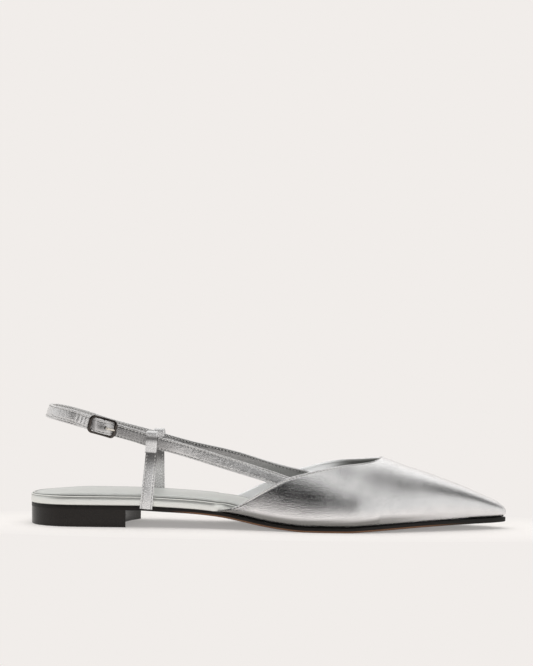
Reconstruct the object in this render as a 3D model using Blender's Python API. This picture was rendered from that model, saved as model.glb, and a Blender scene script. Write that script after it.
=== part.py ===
# Sling back flat, a right shoe, in metres: +X to the toe, +Y to the inner side, +Z up.
# The origin is on the floor under the middle of the heel.

import math
from collections import namedtuple

import bpy
import numpy as np

for old in list(bpy.data.objects):
    bpy.data.objects.remove(old, do_unlink=True)

# Last and sole
SHOE_LENGTH = 0.2675
BALL_WIDTH = 0.077
WAIST_WIDTH = 0.0465
HEEL_WIDTH = 0.0535
INSTEP_RISE = 0.0351  # ridge of the vamp above the sole, at the throat
HEEL_SEAT = 0.0094  # underside of the outsole at the seat, above the floor
TOE_SPRING = 0.0037  # underside of the outsole at the toe, above the floor
HEEL_ROUND = 0.030  # length of the rounded back
NOSE_ROUND = 0.012  # length of the rounded toe
HEEL_LENGTH = 0.058  # heel block, back to its front corners
BREAST_DEPTH = 0.006  # hollow of the heel's front face
OUTSOLE_THICKNESS = 0.0026
INSOLE_THICKNESS = 0.0047
INSOLE_FORE_THICKNESS = 0.0028
SOCK_THICKNESS = 0.0014

# Vamp
WALL = 0.0016
BULGE_HEIGHT = 0.0068  # widest line of the vamp above the sole
VAMP_OVERHANG = 0.0003  # widest line beyond the sole's edge
FEATHER_TUCK = 0.0018  # how far the wall turns in below its widest line
NOSE_SETBACK = 0.0085  # front end of the ridge, behind the toe tip
RIDGE_LEAN = 0.0015  # ridge beside the middle of the sole, to the inner side

# Straps
SLING_HEIGHT = 0.0638  # middle of the band above the floor, at the back
SLING_WIDTH = 0.0078
SLING_THICKNESS = 0.0016
BUCKLE_STRAP_WIDTH = 0.0070
BUCKLE_STRAP_THICKNESS = 0.0013
LOOP_HALF_WIDTH = 0.0240  # sling at the heel, middle line to middle plane
LOOP_ROUND = 0.032  # length of the sling's rounded back
LOOP_BACK = 0.0091  # back of the sling's middle line, from the heel's back
SIDE_STRAP_WIDTH = 0.0071
SIDE_LOOP_WIDTH = 0.0064
SIDE_STRAP_THICKNESS = 0.0012
FOLD_THICKNESS = 0.0008  # sling leather thinned round the buckle's middle bar
FLAP_LENGTH = 0.0104  # folded end of a side strap, down its outer side

# Buckle
BUCKLE_ALONG = 0.0444  # middle bar from the heel's back
BUCKLE_LENGTH = 0.0162
BUCKLE_HEIGHT = 0.0102
BUCKLE_BAR = 0.0010
BUCKLE_END_BAR = 0.0016
BUCKLE_BOW = 0.0014  # end bars stand this far outside the middle bar
PRONG_THICKNESS = 0.0009

# Clearance between pieces that meet
GAP = 0.0003
SEAT_GAP = 0.0006  # a strap's flat middle to the vamp's hollow side

# Middle of the heel's rest, from the heel's back
ORIGIN_ALONG = 0.028

LATERAL = -1
MEDIAL = 1
UP = np.array([0.0, 0.0, 1.0])

# Outline of the sole: half its width and the swing of its middle line
OutlineRow = namedtuple("OutlineRow", "along width half swing")
OUTLINE = [
    OutlineRow(0.000, HEEL_WIDTH, 0.485, -0.003),
    OutlineRow(0.112, HEEL_WIDTH, 0.500, -0.003),
    OutlineRow(0.187, HEEL_WIDTH, 0.486, -0.007),
    OutlineRow(0.281, WAIST_WIDTH, 0.521, -0.020),
    OutlineRow(0.363, WAIST_WIDTH, 0.500, -0.046),
    OutlineRow(0.468, BALL_WIDTH, 0.341, -0.066),
    OutlineRow(0.562, BALL_WIDTH, 0.428, -0.052),
    OutlineRow(0.637, BALL_WIDTH, 0.489, -0.023),
    OutlineRow(0.690, BALL_WIDTH, 0.500, -0.006),
    OutlineRow(0.749, BALL_WIDTH, 0.455, 0.007),
    OutlineRow(0.824, BALL_WIDTH, 0.352, 0.023),
    OutlineRow(0.899, BALL_WIDTH, 0.231, 0.029),
    OutlineRow(0.955, BALL_WIDTH, 0.135, 0.032),
    OutlineRow(1.000, BALL_WIDTH, 0.070, 0.032),
]

# Underside of the outsole: share of the seat's height and of the toe spring
BottomRow = namedtuple("BottomRow", "along seat spring")
BOTTOM = [
    BottomRow(0.000, 1.00, 0.00),
    BottomRow(0.240, 1.00, 0.00),
    BottomRow(0.288, 0.94, 0.00),
    BottomRow(0.352, 0.86, 0.00),
    BottomRow(0.416, 0.70, 0.00),
    BottomRow(0.460, 0.48, 0.00),
    BottomRow(0.501, 0.26, 0.00),
    BottomRow(0.543, 0.10, 0.00),
    BottomRow(0.592, 0.00, 0.00),
    BottomRow(0.670, 0.00, 0.00),
    BottomRow(0.723, 0.00, 0.20),
    BottomRow(0.785, 0.00, 0.48),
    BottomRow(0.846, 0.00, 0.70),
    BottomRow(0.906, 0.00, 0.86),
    BottomRow(1.000, 0.00, 1.00),
]

# Vamp: ridge above the sole, height of the widest line and fullness of the section
VampRow = namedtuple("VampRow", "along ridge bulge fullness")
VAMP = [
    VampRow(0.380, 1.20, 1.00, 1.90),
    VampRow(0.430, 1.25, 1.00, 1.90),
    VampRow(0.490, 1.30, 1.00, 1.90),
    VampRow(0.545, 1.31, 1.00, 1.90),
    VampRow(0.592, 1.27, 1.00, 1.88),
    VampRow(0.648, 1.19, 1.00, 1.85),
    VampRow(0.693, 1.10, 1.00, 1.80),
    VampRow(0.742, 1.00, 1.00, 1.80),
    VampRow(0.794, 0.835, 1.00, 1.95),
    VampRow(0.835, 0.722, 0.98, 2.15),
    VampRow(0.873, 0.605, 0.92, 2.40),
    VampRow(0.914, 0.476, 0.80, 2.60),
    VampRow(0.951, 0.350, 0.65, 2.80),
    VampRow(0.980, 0.252, 0.48, 2.80),
    VampRow(1.000, 0.180, 0.36, 2.80),
]

# Topline: height as a share of the ridge, from the wing's end (0) to the throat (1)
THROAT_ALONG = 0.742
WING_END = {LATERAL: 0.418, MEDIAL: 0.398}
ToplineRow = namedtuple("ToplineRow", "back lateral medial")
TOPLINE = [
    ToplineRow(0.000, 0.025, 0.030),
    ToplineRow(0.080, 0.095, 0.125),
    ToplineRow(0.160, 0.210, 0.228),
    ToplineRow(0.250, 0.342, 0.350),
    ToplineRow(0.330, 0.450, 0.456),
    ToplineRow(0.420, 0.555, 0.550),
    ToplineRow(0.550, 0.660, 0.662),
    ToplineRow(0.680, 0.748, 0.764),
    ToplineRow(0.800, 0.832, 0.848),
    ToplineRow(0.880, 0.878, 0.898),
    ToplineRow(0.940, 0.920, 0.940),
    ToplineRow(0.985, 0.972, 0.980),
    ToplineRow(1.000, 1.000, 1.000),
]

# Middle line of the band in front of the heel: height and distance from the middle
BandRow = namedtuple("BandRow", "along height side")
BUCKLE_STRAP_FREE = [
    BandRow(0.430, 0.562, 1.12),
    BandRow(0.375, 0.630, 1.09),
    BandRow(0.320, 0.695, 1.07),
    BandRow(0.270, 0.749, 1.055),
    BandRow(0.236, 0.792, 1.045),
]
SLING_FREE = [
    BandRow(0.440, 0.552, 0.950),
    BandRow(0.390, 0.602, 0.955),
    BandRow(0.335, 0.648, 0.985),
    BandRow(0.270, 0.718, 1.010),
    BandRow(0.215, 0.780, 1.010),
]
SeatRow = namedtuple("SeatRow", "along height")
BUCKLE_STRAP_SEAT = [
    SeatRow(0.600, 0.357),
    SeatRow(0.560, 0.414),
    SeatRow(0.518, 0.470),
]
SLING_SEAT = [
    SeatRow(0.610, 0.378),
    SeatRow(0.570, 0.424),
    SeatRow(0.525, 0.473),
]
# Band round the heel: height falls from the back to the sides
BACK_DROP = {LATERAL: 0.108, MEDIAL: 0.158}
BACK_LEAN = 0.34  # the band's top edge leans forward at the back
TAIL_LIFT = 0.0010  # the tail's middle above the sling's
SIDE_STRAP_ALONG = {LATERAL: 0.260, MEDIAL: 0.256}
SIDE_STRAP_LEAN = {LATERAL: 0.0024, MEDIAL: 0.0002}  # loop ahead of the strap's foot
SIDE_STRAP_DROP = 0.0014  # the strap's foot below the sole's upper side


# Curves through short tables
def smooth(places, values):
    places = np.array(places, float)
    values = np.array(values, float)
    step = np.diff(places)
    rise = np.diff(values) / step
    slope = np.zeros(len(places))
    slope[0] = rise[0]
    slope[-1] = rise[-1]
    for i in range(1, len(places) - 1):
        if rise[i - 1] * rise[i] > 0:
            before = 2 * step[i] + step[i - 1]
            after = step[i] + 2 * step[i - 1]
            slope[i] = (before + after) / (before / rise[i - 1] + after / rise[i])

    def value(place):
        if place <= places[0]:
            return values[0] + slope[0] * (place - places[0])
        if place >= places[-1]:
            return values[-1] + slope[-1] * (place - places[-1])
        i = int(np.searchsorted(places, place, side="right")) - 1
        t = (place - places[i]) / step[i]
        start = values[i] * (1 + 2 * t) * (1 - t) ** 2 + values[i + 1] * t * t * (3 - 2 * t)
        bend = slope[i] * t * (1 - t) ** 2 + slope[i + 1] * t * t * (t - 1)
        return start + bend * step[i]

    return value


# A smooth route through points, with the hints that belong to them
def spline(points, count, hints=None):
    points = np.array(points, float)
    chord = np.linalg.norm(np.diff(points, axis=0), axis=1)
    knots = np.concatenate([[0.0], np.cumsum(chord)])
    if hints is not None:
        points = np.hstack([points, np.array(hints, float)])
    size = len(points)
    system = np.eye(size)
    right = np.zeros((size, points.shape[1]))
    for i in range(1, size - 1):
        before = knots[i] - knots[i - 1]
        after = knots[i + 1] - knots[i]
        system[i, i - 1:i + 2] = [before, 2 * (before + after), after]
        right[i] = 6 * ((points[i + 1] - points[i]) / after - (points[i] - points[i - 1]) / before)
    bend = np.linalg.solve(system, right)
    result = []
    for place in np.linspace(0, knots[-1], count):
        i = min(int(np.searchsorted(knots, place, side="right")) - 1, size - 2)
        step = knots[i + 1] - knots[i]
        a = (knots[i + 1] - place) / step
        b = 1 - a
        curve = ((a ** 3 - a) * bend[i] + (b ** 3 - b) * bend[i + 1]) * step * step / 6
        result.append(a * points[i] + b * points[i + 1] + curve)
    result = np.array(result)
    if hints is None:
        return result
    return result[:, :3], result[:, 3:]


def blend(low, high, value):
    t = min(max((value - low) / (high - low), 0.0), 1.0)
    return t * t * (3 - 2 * t)


half_width = smooth([r.along * SHOE_LENGTH for r in OUTLINE], [r.width * r.half for r in OUTLINE])
middle_line = smooth([r.along * SHOE_LENGTH for r in OUTLINE], [r.swing * BALL_WIDTH for r in OUTLINE])
sole_bottom = smooth(
    [r.along * SHOE_LENGTH for r in BOTTOM],
    [r.seat * HEEL_SEAT + r.spring * TOE_SPRING for r in BOTTOM],
)
ridge_rise = smooth([r.along * SHOE_LENGTH for r in VAMP], [r.ridge * INSTEP_RISE for r in VAMP])
bulge_rise = smooth([r.along * SHOE_LENGTH for r in VAMP], [r.bulge * BULGE_HEIGHT for r in VAMP])
fullness = smooth([r.along * SHOE_LENGTH for r in VAMP], [r.fullness for r in VAMP])
topline_share = {
    LATERAL: smooth([r.back for r in TOPLINE], [r.lateral for r in TOPLINE]),
    MEDIAL: smooth([r.back for r in TOPLINE], [r.medial for r in TOPLINE]),
}


def sole_top(x):
    return sole_bottom(x) + OUTSOLE_THICKNESS


# Plan outline, from the back (0) to the toe tip (1), with evenly turning ends
BACK_SHARE = 0.20
NOSE_SHARE = 0.90
BACK_FULLNESS = 2.25


def along(t):
    if t < BACK_SHARE:
        return HEEL_ROUND * (1 - math.cos(t / BACK_SHARE * math.pi / 2))
    if t > NOSE_SHARE:
        turn = (t - NOSE_SHARE) / (1 - NOSE_SHARE) * math.pi / 2
        return SHOE_LENGTH - NOSE_ROUND * (1 - math.sin(turn))
    share = (t - BACK_SHARE) / (NOSE_SHARE - BACK_SHARE)
    return HEEL_ROUND + share * (SHOE_LENGTH - NOSE_ROUND - HEEL_ROUND)


def share_at(x):
    low, high = 0.0, 1.0
    for _ in range(40):
        middle = (low + high) / 2
        if along(middle) < x:
            low = middle
        else:
            high = middle
    return (low + high) / 2


def edge(t, side):
    x = along(t)
    round_end = 1.0
    if t < BACK_SHARE:
        round_end = (1 - (1 - x / HEEL_ROUND) ** BACK_FULLNESS) ** (1 / BACK_FULLNESS)
    elif t > NOSE_SHARE:
        round_end = math.cos((t - NOSE_SHARE) / (1 - NOSE_SHARE) * math.pi / 2)
    return np.array([x, middle_line(x) + side * half_width(x) * round_end])


def outline(t, side, inset):
    near = 0.002
    ahead = edge(min(t + near, 1.0), side)
    behind = edge(max(t - near, 0.0), side)
    direction = (ahead - behind) / np.linalg.norm(ahead - behind)
    outward = side * np.array([-direction[1], direction[0]])
    if t >= 1.0:
        outward = np.array([1.0, 0.0])
    return edge(t, side) - outward * inset


# Meshes
def finish_mesh(name, points, faces, material, sharp=40):
    mesh = bpy.data.meshes.new(name)
    shifted = [(float(p[0]) - ORIGIN_ALONG, float(p[1]), float(p[2])) for p in points]
    mesh.from_pydata(shifted, [], faces)
    mesh.validate()
    mesh.materials.append(material)
    mesh.shade_smooth()
    mesh.set_sharp_from_angle(angle=math.radians(sharp))
    piece = bpy.data.objects.new(name, mesh)
    bpy.context.collection.objects.link(piece)
    return piece


def loft(name, rings, material, sharp=40):
    # The rings turn anticlockwise when seen from the last ring
    points = [p for ring in rings for p in ring]
    size = len(rings[0])
    faces = [list(range(size))[::-1]]
    for i in range(len(rings) - 1):
        for j in range(size):
            k = (j + 1) % size
            faces.append([i * size + j, i * size + k, (i + 1) * size + k, (i + 1) * size + j])
    last = (len(rings) - 1) * size
    faces.append(list(range(last, last + size)))
    return finish_mesh(name, points, faces, material, sharp)


def finish(name, colour, roughness, metallic):
    material = bpy.data.materials.new(name)
    material.use_nodes = True
    shader = material.node_tree.nodes["Principled BSDF"]
    shader.inputs["Base Color"].default_value = (*colour, 1.0)
    shader.inputs["Roughness"].default_value = roughness
    shader.inputs["Metallic"].default_value = metallic
    material.diffuse_color = (*colour, 1.0)
    return material


# A flat piece that follows the sole: a section for each station, heel to toe
def plate(name, stations, inset, bottom, top, profile, material):
    rings = []
    for t in stations:
        sides = {}
        for side in (LATERAL, MEDIAL):
            column = []
            for extra, rise in profile:
                x, y = outline(t, side, inset(along(t)) + extra)
                low, high = bottom(x), top(x)
                column.append((x, y, low + rise * (high - low)))
            sides[side] = column
        rings.append(sides[MEDIAL] + sides[LATERAL][::-1])
    return loft(name, rings, material)


BLUNT_END = 0.010  # first and last station keep a narrow flat end


def stations(first, last, back, middle, nose):
    places = list(np.linspace(first, BACK_SHARE, back, endpoint=False))
    places += list(np.linspace(BACK_SHARE, NOSE_SHARE, middle, endpoint=False))
    places += list(np.linspace(NOSE_SHARE, last, nose))
    return places


# Outsole
EDGE_EASE = 0.0005


def outsole():
    profile = [(EDGE_EASE, 0.0), (0.0, 0.22), (0.0, 1.0)]
    places = stations(BLUNT_END, 1 - BLUNT_END, 7, 22, 6)
    flat = [share_at(BOTTOM[8].along * SHOE_LENGTH), share_at(BOTTOM[9].along * SHOE_LENGTH)]
    places = sorted([t for t in places if min(abs(t - f) for f in flat) > 0.01] + flat)
    colour = finish("sole_leather", (0.030, 0.026, 0.024), 0.45, 0.0)
    return plate("outsole", places, lambda x: 0.0, sole_bottom, sole_top, profile, colour)


# Heel block
def heel():
    sides = 9
    breast = 7
    levels = [(0.0010, 0.0), (0.0006, 0.0004), (0.0002, HEEL_SEAT - GAP)]
    corner = share_at(HEEL_LENGTH)
    rings = []
    for inset, z in levels:
        ring = []
        for t in np.linspace(corner, BLUNT_END, sides):
            ring.append((*outline(t, MEDIAL, inset), z))
        for t in np.linspace(BLUNT_END, corner, sides):
            ring.append((*outline(t, LATERAL, inset), z))
        near, far = ring[-1], ring[0]
        for share in np.linspace(0, 1, breast + 2)[1:-1]:
            hollow = BREAST_DEPTH * (1 - (2 * share - 1) ** 2)
            y = near[1] + share * (far[1] - near[1])
            ring.append((near[0] - hollow, y, z))
        rings.append(ring)
    return loft("heel", rings, finish("heel_black", (0.022, 0.020, 0.018), 0.35, 0.0))


# Vamp: a rib from the sole's edge up to the ridge or the topline
LOWER_STEPS = 3
UPPER_STEPS = 9
TUCK_POWER = 2.2


def spine(x):
    start = SHOE_LENGTH - 3.5 * NOSE_SETBACK
    if x <= start:
        return x
    return x - NOSE_SETBACK * ((x - start) / (SHOE_LENGTH - start)) ** 2


def wing_share(x, side):
    start = WING_END[side] * SHOE_LENGTH
    throat = THROAT_ALONG * SHOE_LENGTH
    return min(max((x - start) / (throat - start), 0.0), 1.0)


def feather(x):
    return sole_top(x) + GAP


def rib(t, side):
    # The rib's ends in plan, its cut and its widest height at the edge
    x = along(t)
    outer = outline(t, side, -VAMP_OVERHANG)
    ridge_x = spine(x)
    middle = np.array([ridge_x, middle_line(ridge_x) + RIDGE_LEAN])
    cut = topline_share[side](wing_share(x, side))
    bulge = min(bulge_rise(x), 0.5 * cut * ridge_rise(x))
    return outer, middle, cut, bulge


def rib_point(parts, p):
    outer, middle, cut, bulge = parts
    if p < LOWER_STEPS:
        depth = 1 - p / LOWER_STEPS
        reach = np.linalg.norm(middle - outer)
        plan = outer + (middle - outer) / reach * FEATHER_TUCK * depth ** TUCK_POWER
        z = feather(plan[0]) + bulge * (1 - depth)
        return np.array([plan[0], plan[1], z])
    shape = fullness(outer[0])
    top = (cut * ridge_rise(outer[0]) - bulge) / (ridge_rise(outer[0]) - bulge)
    last_turn = math.asin(min(max(top, 0.0), 1.0) ** (shape / 2))
    turn = last_turn * (p - LOWER_STEPS) / UPPER_STEPS
    aside = math.cos(turn) ** (2 / shape) if cut < 1 or p < LOWER_STEPS + UPPER_STEPS else 0.0
    plan = middle + (outer - middle) * aside
    rise = bulge + (ridge_rise(plan[0]) - bulge) * math.sin(turn) ** (2 / shape)
    return np.array([plan[0], plan[1], feather(plan[0]) + rise])


def rib_normal(t, side, p):
    near_t = 0.004
    near_p = 0.2
    last = LOWER_STEPS + UPPER_STEPS
    t = min(max(t, near_t), 1 - near_t / 4)
    p_low, p_high = max(p - near_p, 0.0), min(p + near_p, last - 0.02)
    if p_high - p_low < near_p:
        p_low = p_high - near_p
    ahead = rib_point(rib(min(t + near_t, 1.0), side), p)
    behind = rib_point(rib(t - near_t, side), p)
    above = rib_point(rib(t, side), p_high)
    below = rib_point(rib(t, side), p_low)
    normal = np.cross(ahead - behind, above - below) * -side
    return normal / np.linalg.norm(normal)


def vamp_ribs(side, wing_count, front_count):
    start = share_at(WING_END[side] * SHOE_LENGTH)
    throat = share_at(THROAT_ALONG * SHOE_LENGTH)
    wing = [start + (throat - start) * math.sin(i / wing_count * math.pi / 2) for i in range(wing_count)]
    front = [throat + (NOSE_SHARE - throat) * i / front_count for i in range(front_count)]
    return wing, front + [NOSE_SHARE + (1 - NOSE_SHARE) * i / 4 for i in range(4)] + [1.0]


def upper():
    wing_count, front_count = 12, 9
    last = LOWER_STEPS + UPPER_STEPS
    outer_points, inner_points, grid = [], [], {}

    def add(t, side, p):
        point = rib_point(rib(t, side), p)
        normal = rib_normal(t, side, p)
        if p == last and t >= share_at(THROAT_ALONG * SHOE_LENGTH) - 1e-6:
            normal[1] = 0.0
            normal /= np.linalg.norm(normal)
        if t >= 1.0:
            normal[1] = 0.0
            normal /= np.linalg.norm(normal)
        inner = point - normal * WALL
        if p == 0:
            inward = np.array([normal[0], normal[1]])
            inward /= np.linalg.norm(inward)
            inner = np.array([point[0] - inward[0] * WALL, point[1] - inward[1] * WALL, point[2]])
        outer_points.append(point)
        inner_points.append(inner)
        return len(outer_points) - 1

    columns = []
    for side in (LATERAL, MEDIAL):
        wing, front = vamp_ribs(side, wing_count, front_count)
        column = []
        for i, t in enumerate(wing + front):
            rib_row = []
            for p in range(last + 1):
                shared = (i >= wing_count and p == last) or t >= 1.0
                key = (i, p)
                if shared and key in grid:
                    rib_row.append(grid[key])
                    continue
                index = add(t, side, p)
                if shared:
                    grid[key] = index
                rib_row.append(index)
            column.append(rib_row)
        columns.append(column)

    count = len(outer_points)
    faces = []

    def panel(a, b, c, d, flip):
        face = [a, b, c, d] if flip else [a, d, c, b]
        faces.append(face)
        faces.append([count + v for v in face[::-1]])

    for column, flip in ((columns[0], True), (columns[1], False)):
        for i in range(len(column) - 1):
            for p in range(last):
                panel(column[i][p], column[i + 1][p], column[i + 1][p + 1], column[i][p + 1], flip)

    # Rims: the sole's edge, the topline and the wings' ends, in one loop
    lateral, medial = columns
    loop = [row[0] for row in lateral] + [row[0] for row in medial[-2::-1]]
    loop += medial[0][1:]
    loop += [row[last] for row in medial[1:wing_count + 1]]
    loop += [row[last] for row in lateral[wing_count - 1::-1]]
    loop += lateral[0][last - 1:0:-1]
    for a, b in zip(loop, loop[1:] + loop[:1]):
        faces.append([b, a, count + a, count + b])
    silver = finish("upper_leather", (0.62, 0.62, 0.61), 0.30, 0.9)
    return finish_mesh("upper", outer_points + inner_points, faces, silver, 50)


# Insole and sock: at the sole's edge behind the vamp, inside its wall in front
RAND_INSET = -0.0002
SOCK_INSET = 0.0012
INSIDE_VAMP = FEATHER_TUCK - VAMP_OVERHANG + WALL + GAP


def insole_inset(x):
    start = min(WING_END.values()) * SHOE_LENGTH
    return RAND_INSET + (INSIDE_VAMP - RAND_INSET) * blend(start - 0.014, start - 0.001, x)


def insole_bottom(x):
    return sole_top(x) + GAP


def insole_top(x):
    thin = blend(0.42 * SHOE_LENGTH, 0.60 * SHOE_LENGTH, x)
    thickness = INSOLE_THICKNESS + (INSOLE_FORE_THICKNESS - INSOLE_THICKNESS) * thin
    return insole_bottom(x) + thickness


def sock_bottom(x):
    return insole_top(x) + GAP


def sock_top(x):
    return sock_bottom(x) + SOCK_THICKNESS


def insole():
    profile = [(0.0006, 0.0), (0.0, 0.14), (0.0, 0.80), (0.0006, 1.0)]
    places = stations(BLUNT_END, 0.955, 7, 22, 4)
    colour = finish("insole_leather", (0.66, 0.66, 0.64), 0.35, 0.85)
    return plate("insole", places, insole_inset, insole_bottom, insole_top, profile, colour)


def sock():
    profile = [(0.0, 0.0), (0.0, 0.45), (0.0008, 1.0)]
    places = stations(BLUNT_END, 0.93, 7, 20, 3)
    colour = finish("sock_leather", (0.60, 0.60, 0.58), 0.42, 0.7)
    inset = lambda x: insole_inset(x) + SOCK_INSET
    return plate("sock", places, inset, sock_bottom, sock_top, profile, colour)


# Straps: a flat band swept along a route, its width held to a hint
def unit(vector):
    return vector / np.linalg.norm(vector)


def band_rings(route, hints, widths, thicknesses):
    rings = []
    for i, point in enumerate(route):
        direction = unit(route[min(i + 1, len(route) - 1)] - route[max(i - 1, 0)])
        across = hints[i] - direction * np.dot(hints[i], direction)
        across = unit(across)
        out = np.cross(direction, across)
        w, h = widths[i] / 2, thicknesses[i] / 2
        c = 0.5 * h
        corners = [(w, h - c), (w - c, h), (c - w, h), (-w, h - c)]
        corners += [(-w, c - h), (c - w, -h), (w - c, -h), (w, c - h)]
        rings.append([point + across * a + out * b for a, b in corners])
    return rings


def seat(row, side, height, thickness):
    # A point of a strap's middle line against the inside of the vamp's wall
    x = row.along * SHOE_LENGTH
    z = row.height * height

    def wall_at(place, level):
        reach = abs(outline(share_at(place), side, -VAMP_OVERHANG)[1] - middle_line(place) - RIDGE_LEAN)
        bulge = bulge_rise(place)
        up = (level - feather(place) - bulge) / (ridge_rise(place) - bulge)
        shape = fullness(place)
        aside = (1 - min(max(up, 0.0), 1.0) ** shape) ** (1 / shape)
        return middle_line(place) + RIDGE_LEAN + side * reach * aside

    near = 0.001
    y = wall_at(x, z)
    lean = (wall_at(x, z + near) - wall_at(x, z - near)) / (2 * near)
    turn = (wall_at(x + near, z) - wall_at(x - near, z)) / (2 * near)
    normal = unit(np.array([-turn, 1.0, -lean])) * side
    point = np.array([x, y, z]) - normal * (WALL + SEAT_GAP + thickness / 2)
    return point, unit(np.array([0.0, lean, 1.0]))


def free_point(row, side):
    return np.array([row.along * SHOE_LENGTH, side * row.side * LOOP_HALF_WIDTH, row.height * SLING_HEIGHT])


# Round the heel: a place on the band's middle line for a turn from the side to the back
def loop_point(turn, side, out):
    share = math.cos(turn)
    x = LOOP_BACK + LOOP_ROUND * (1 - math.sin(turn))
    y = side * LOOP_HALF_WIDTH * share ** 0.92
    drop = BACK_DROP[side] * (1 - math.sin(turn)) ** 1.1
    outward = unit(np.array([-math.sin(turn) * LOOP_HALF_WIDTH, side * share * LOOP_ROUND, 0.0]))
    return np.array([x, y, SLING_HEIGHT * (1 - drop)]) + outward * out


def back_hint(turn, side):
    lean = BACK_LEAN * math.sin(turn) ** 2
    inward = BACK_LEAN * 0.35 * math.cos(turn)
    return unit(np.array([lean, -side * inward, 1.0]))


STACK = (SLING_THICKNESS + BUCKLE_STRAP_THICKNESS) / 2 + GAP


# Buckle: its middle, and the directions to the toe, up its width and outward
def buckle_frame_axes():
    front = free_point(BUCKLE_STRAP_FREE[-1], LATERAL)
    back = loop_point(math.radians(25), LATERAL, STACK)
    forward = unit(front - back)
    across = unit(UP - forward * forward[2])
    outward = np.cross(forward, across)
    share = (BUCKLE_ALONG - back[0]) / (front[0] - back[0])
    return back + share * (front - back), forward, across, outward


def at_buckle(ahead, up, out):
    middle, forward, across, outward = buckle_frame_axes()
    return middle + forward * ahead + across * up + outward * out


MIDDLE_BAR_OUT = -BUCKLE_BOW / 2
END_BAR_OUT = BUCKLE_BOW / 2
UNDER_BAR = END_BAR_OUT - BUCKLE_BAR / 2 - GAP - BUCKLE_STRAP_THICKNESS / 2
FOLD_RADIUS = BUCKLE_BAR / 2 + GAP + FOLD_THICKNESS / 2
OVER_BAR = MIDDLE_BAR_OUT + FOLD_RADIUS + (FOLD_THICKNESS + BUCKLE_STRAP_THICKNESS) / 2 + GAP
END_BAR_AHEAD = (BUCKLE_LENGTH - BUCKLE_END_BAR) / 2
HOLE_AHEAD = 0.0021
HOLE_RADIUS = 0.0009
HOLE_SIDES = 10


# A guide between two rings that turn anticlockwise when seen from the high one
def prism_guide(name, low, high):
    sides = len(low)
    faces = [list(range(sides))[::-1], list(range(sides, 2 * sides))]
    faces += [[i, (i + 1) % sides, (i + 1) % sides + sides, i + sides] for i in range(sides)]
    return cutter(name, low + high, faces)


def cutter(name, points, faces):
    guide = finish_mesh(name, points, faces, finish(name, (0.5, 0.5, 0.5), 0.5, 0.0))
    guide.hide_render = True
    guide.display_type = "WIRE"
    return guide


def buckle_box(name, size, place):
    points = []
    for a in (-1, 1):
        for b in (-1, 1):
            for c in (-1, 1):
                ahead, up, out = (place[i] + sign * size[i] / 2 for i, sign in enumerate((a, b, c)))
                points.append(at_buckle(ahead, up, out))
    faces = [[0, 1, 3, 2], [4, 6, 7, 5], [0, 4, 5, 1], [2, 3, 7, 6], [0, 2, 6, 4], [1, 5, 7, 3]]
    return cutter(name, points, faces)


def cut(piece, guide, operation="DIFFERENCE"):
    step = piece.modifiers.new(guide.name, "BOOLEAN")
    step.operation = operation
    step.solver = "EXACT"
    step.object = guide


def buckle_strap():
    height = SLING_HEIGHT
    points, leans = [], []
    for row in BUCKLE_STRAP_SEAT:
        point, lean = seat(row, LATERAL, height, BUCKLE_STRAP_THICKNESS)
        points.append(point)
        leans.append(lean)
    for i, row in enumerate(BUCKLE_STRAP_FREE):
        points.append(free_point(row, LATERAL))
        leans.append(unit(leans[2] * max(0.6 - 0.3 * i, 0.0) + UP))
    rise = OVER_BAR - UNDER_BAR
    weave = [
        (END_BAR_AHEAD + 0.0008, UNDER_BAR), (END_BAR_AHEAD - 0.0012, UNDER_BAR),
        (END_BAR_AHEAD * 0.42, UNDER_BAR + 0.80 * rise), (0.0003, OVER_BAR),
        (-END_BAR_AHEAD * 0.40, UNDER_BAR + 0.80 * rise),
        (-END_BAR_AHEAD + 0.0012, UNDER_BAR), (-END_BAR_AHEAD - 0.0008, UNDER_BAR),
    ]
    for ahead, out in weave:
        points.append(at_buckle(ahead, 0.0, out))
        leans.append(UP)
    for degrees in (24, 34, 44, 53):
        turn = math.radians(degrees)
        points.append(loop_point(turn, LATERAL, STACK) + UP * TAIL_LIFT)
        leans.append(back_hint(turn, LATERAL))
    count = 84
    route, lean_route = spline(points, count, leans)
    ends = np.linalg.norm(route - route[-1], axis=1)
    round_tip = BUCKLE_STRAP_WIDTH * 0.5
    widths = []
    for distance in ends:
        share = min(distance / round_tip, 1.0)
        widths.append(BUCKLE_STRAP_WIDTH * max(math.sqrt(1 - (1 - share) ** 2), 0.35))
    rings = band_rings(route, lean_route, widths, [BUCKLE_STRAP_THICKNESS] * count)
    piece = loft("buckle_strap", [ring[::-1] for ring in rings][::-1], strap_finish, 60)
    hole = []
    for out in (UNDER_BAR - 0.002, OVER_BAR + 0.002):
        turns = [2 * math.pi * i / HOLE_SIDES for i in range(HOLE_SIDES)]
        hole.append([at_buckle(HOLE_AHEAD + HOLE_RADIUS * math.cos(a), HOLE_RADIUS * math.sin(a), out)
                     for a in turns])
    cut(piece, prism_guide("strap_hole", *hole))
    return piece


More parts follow.
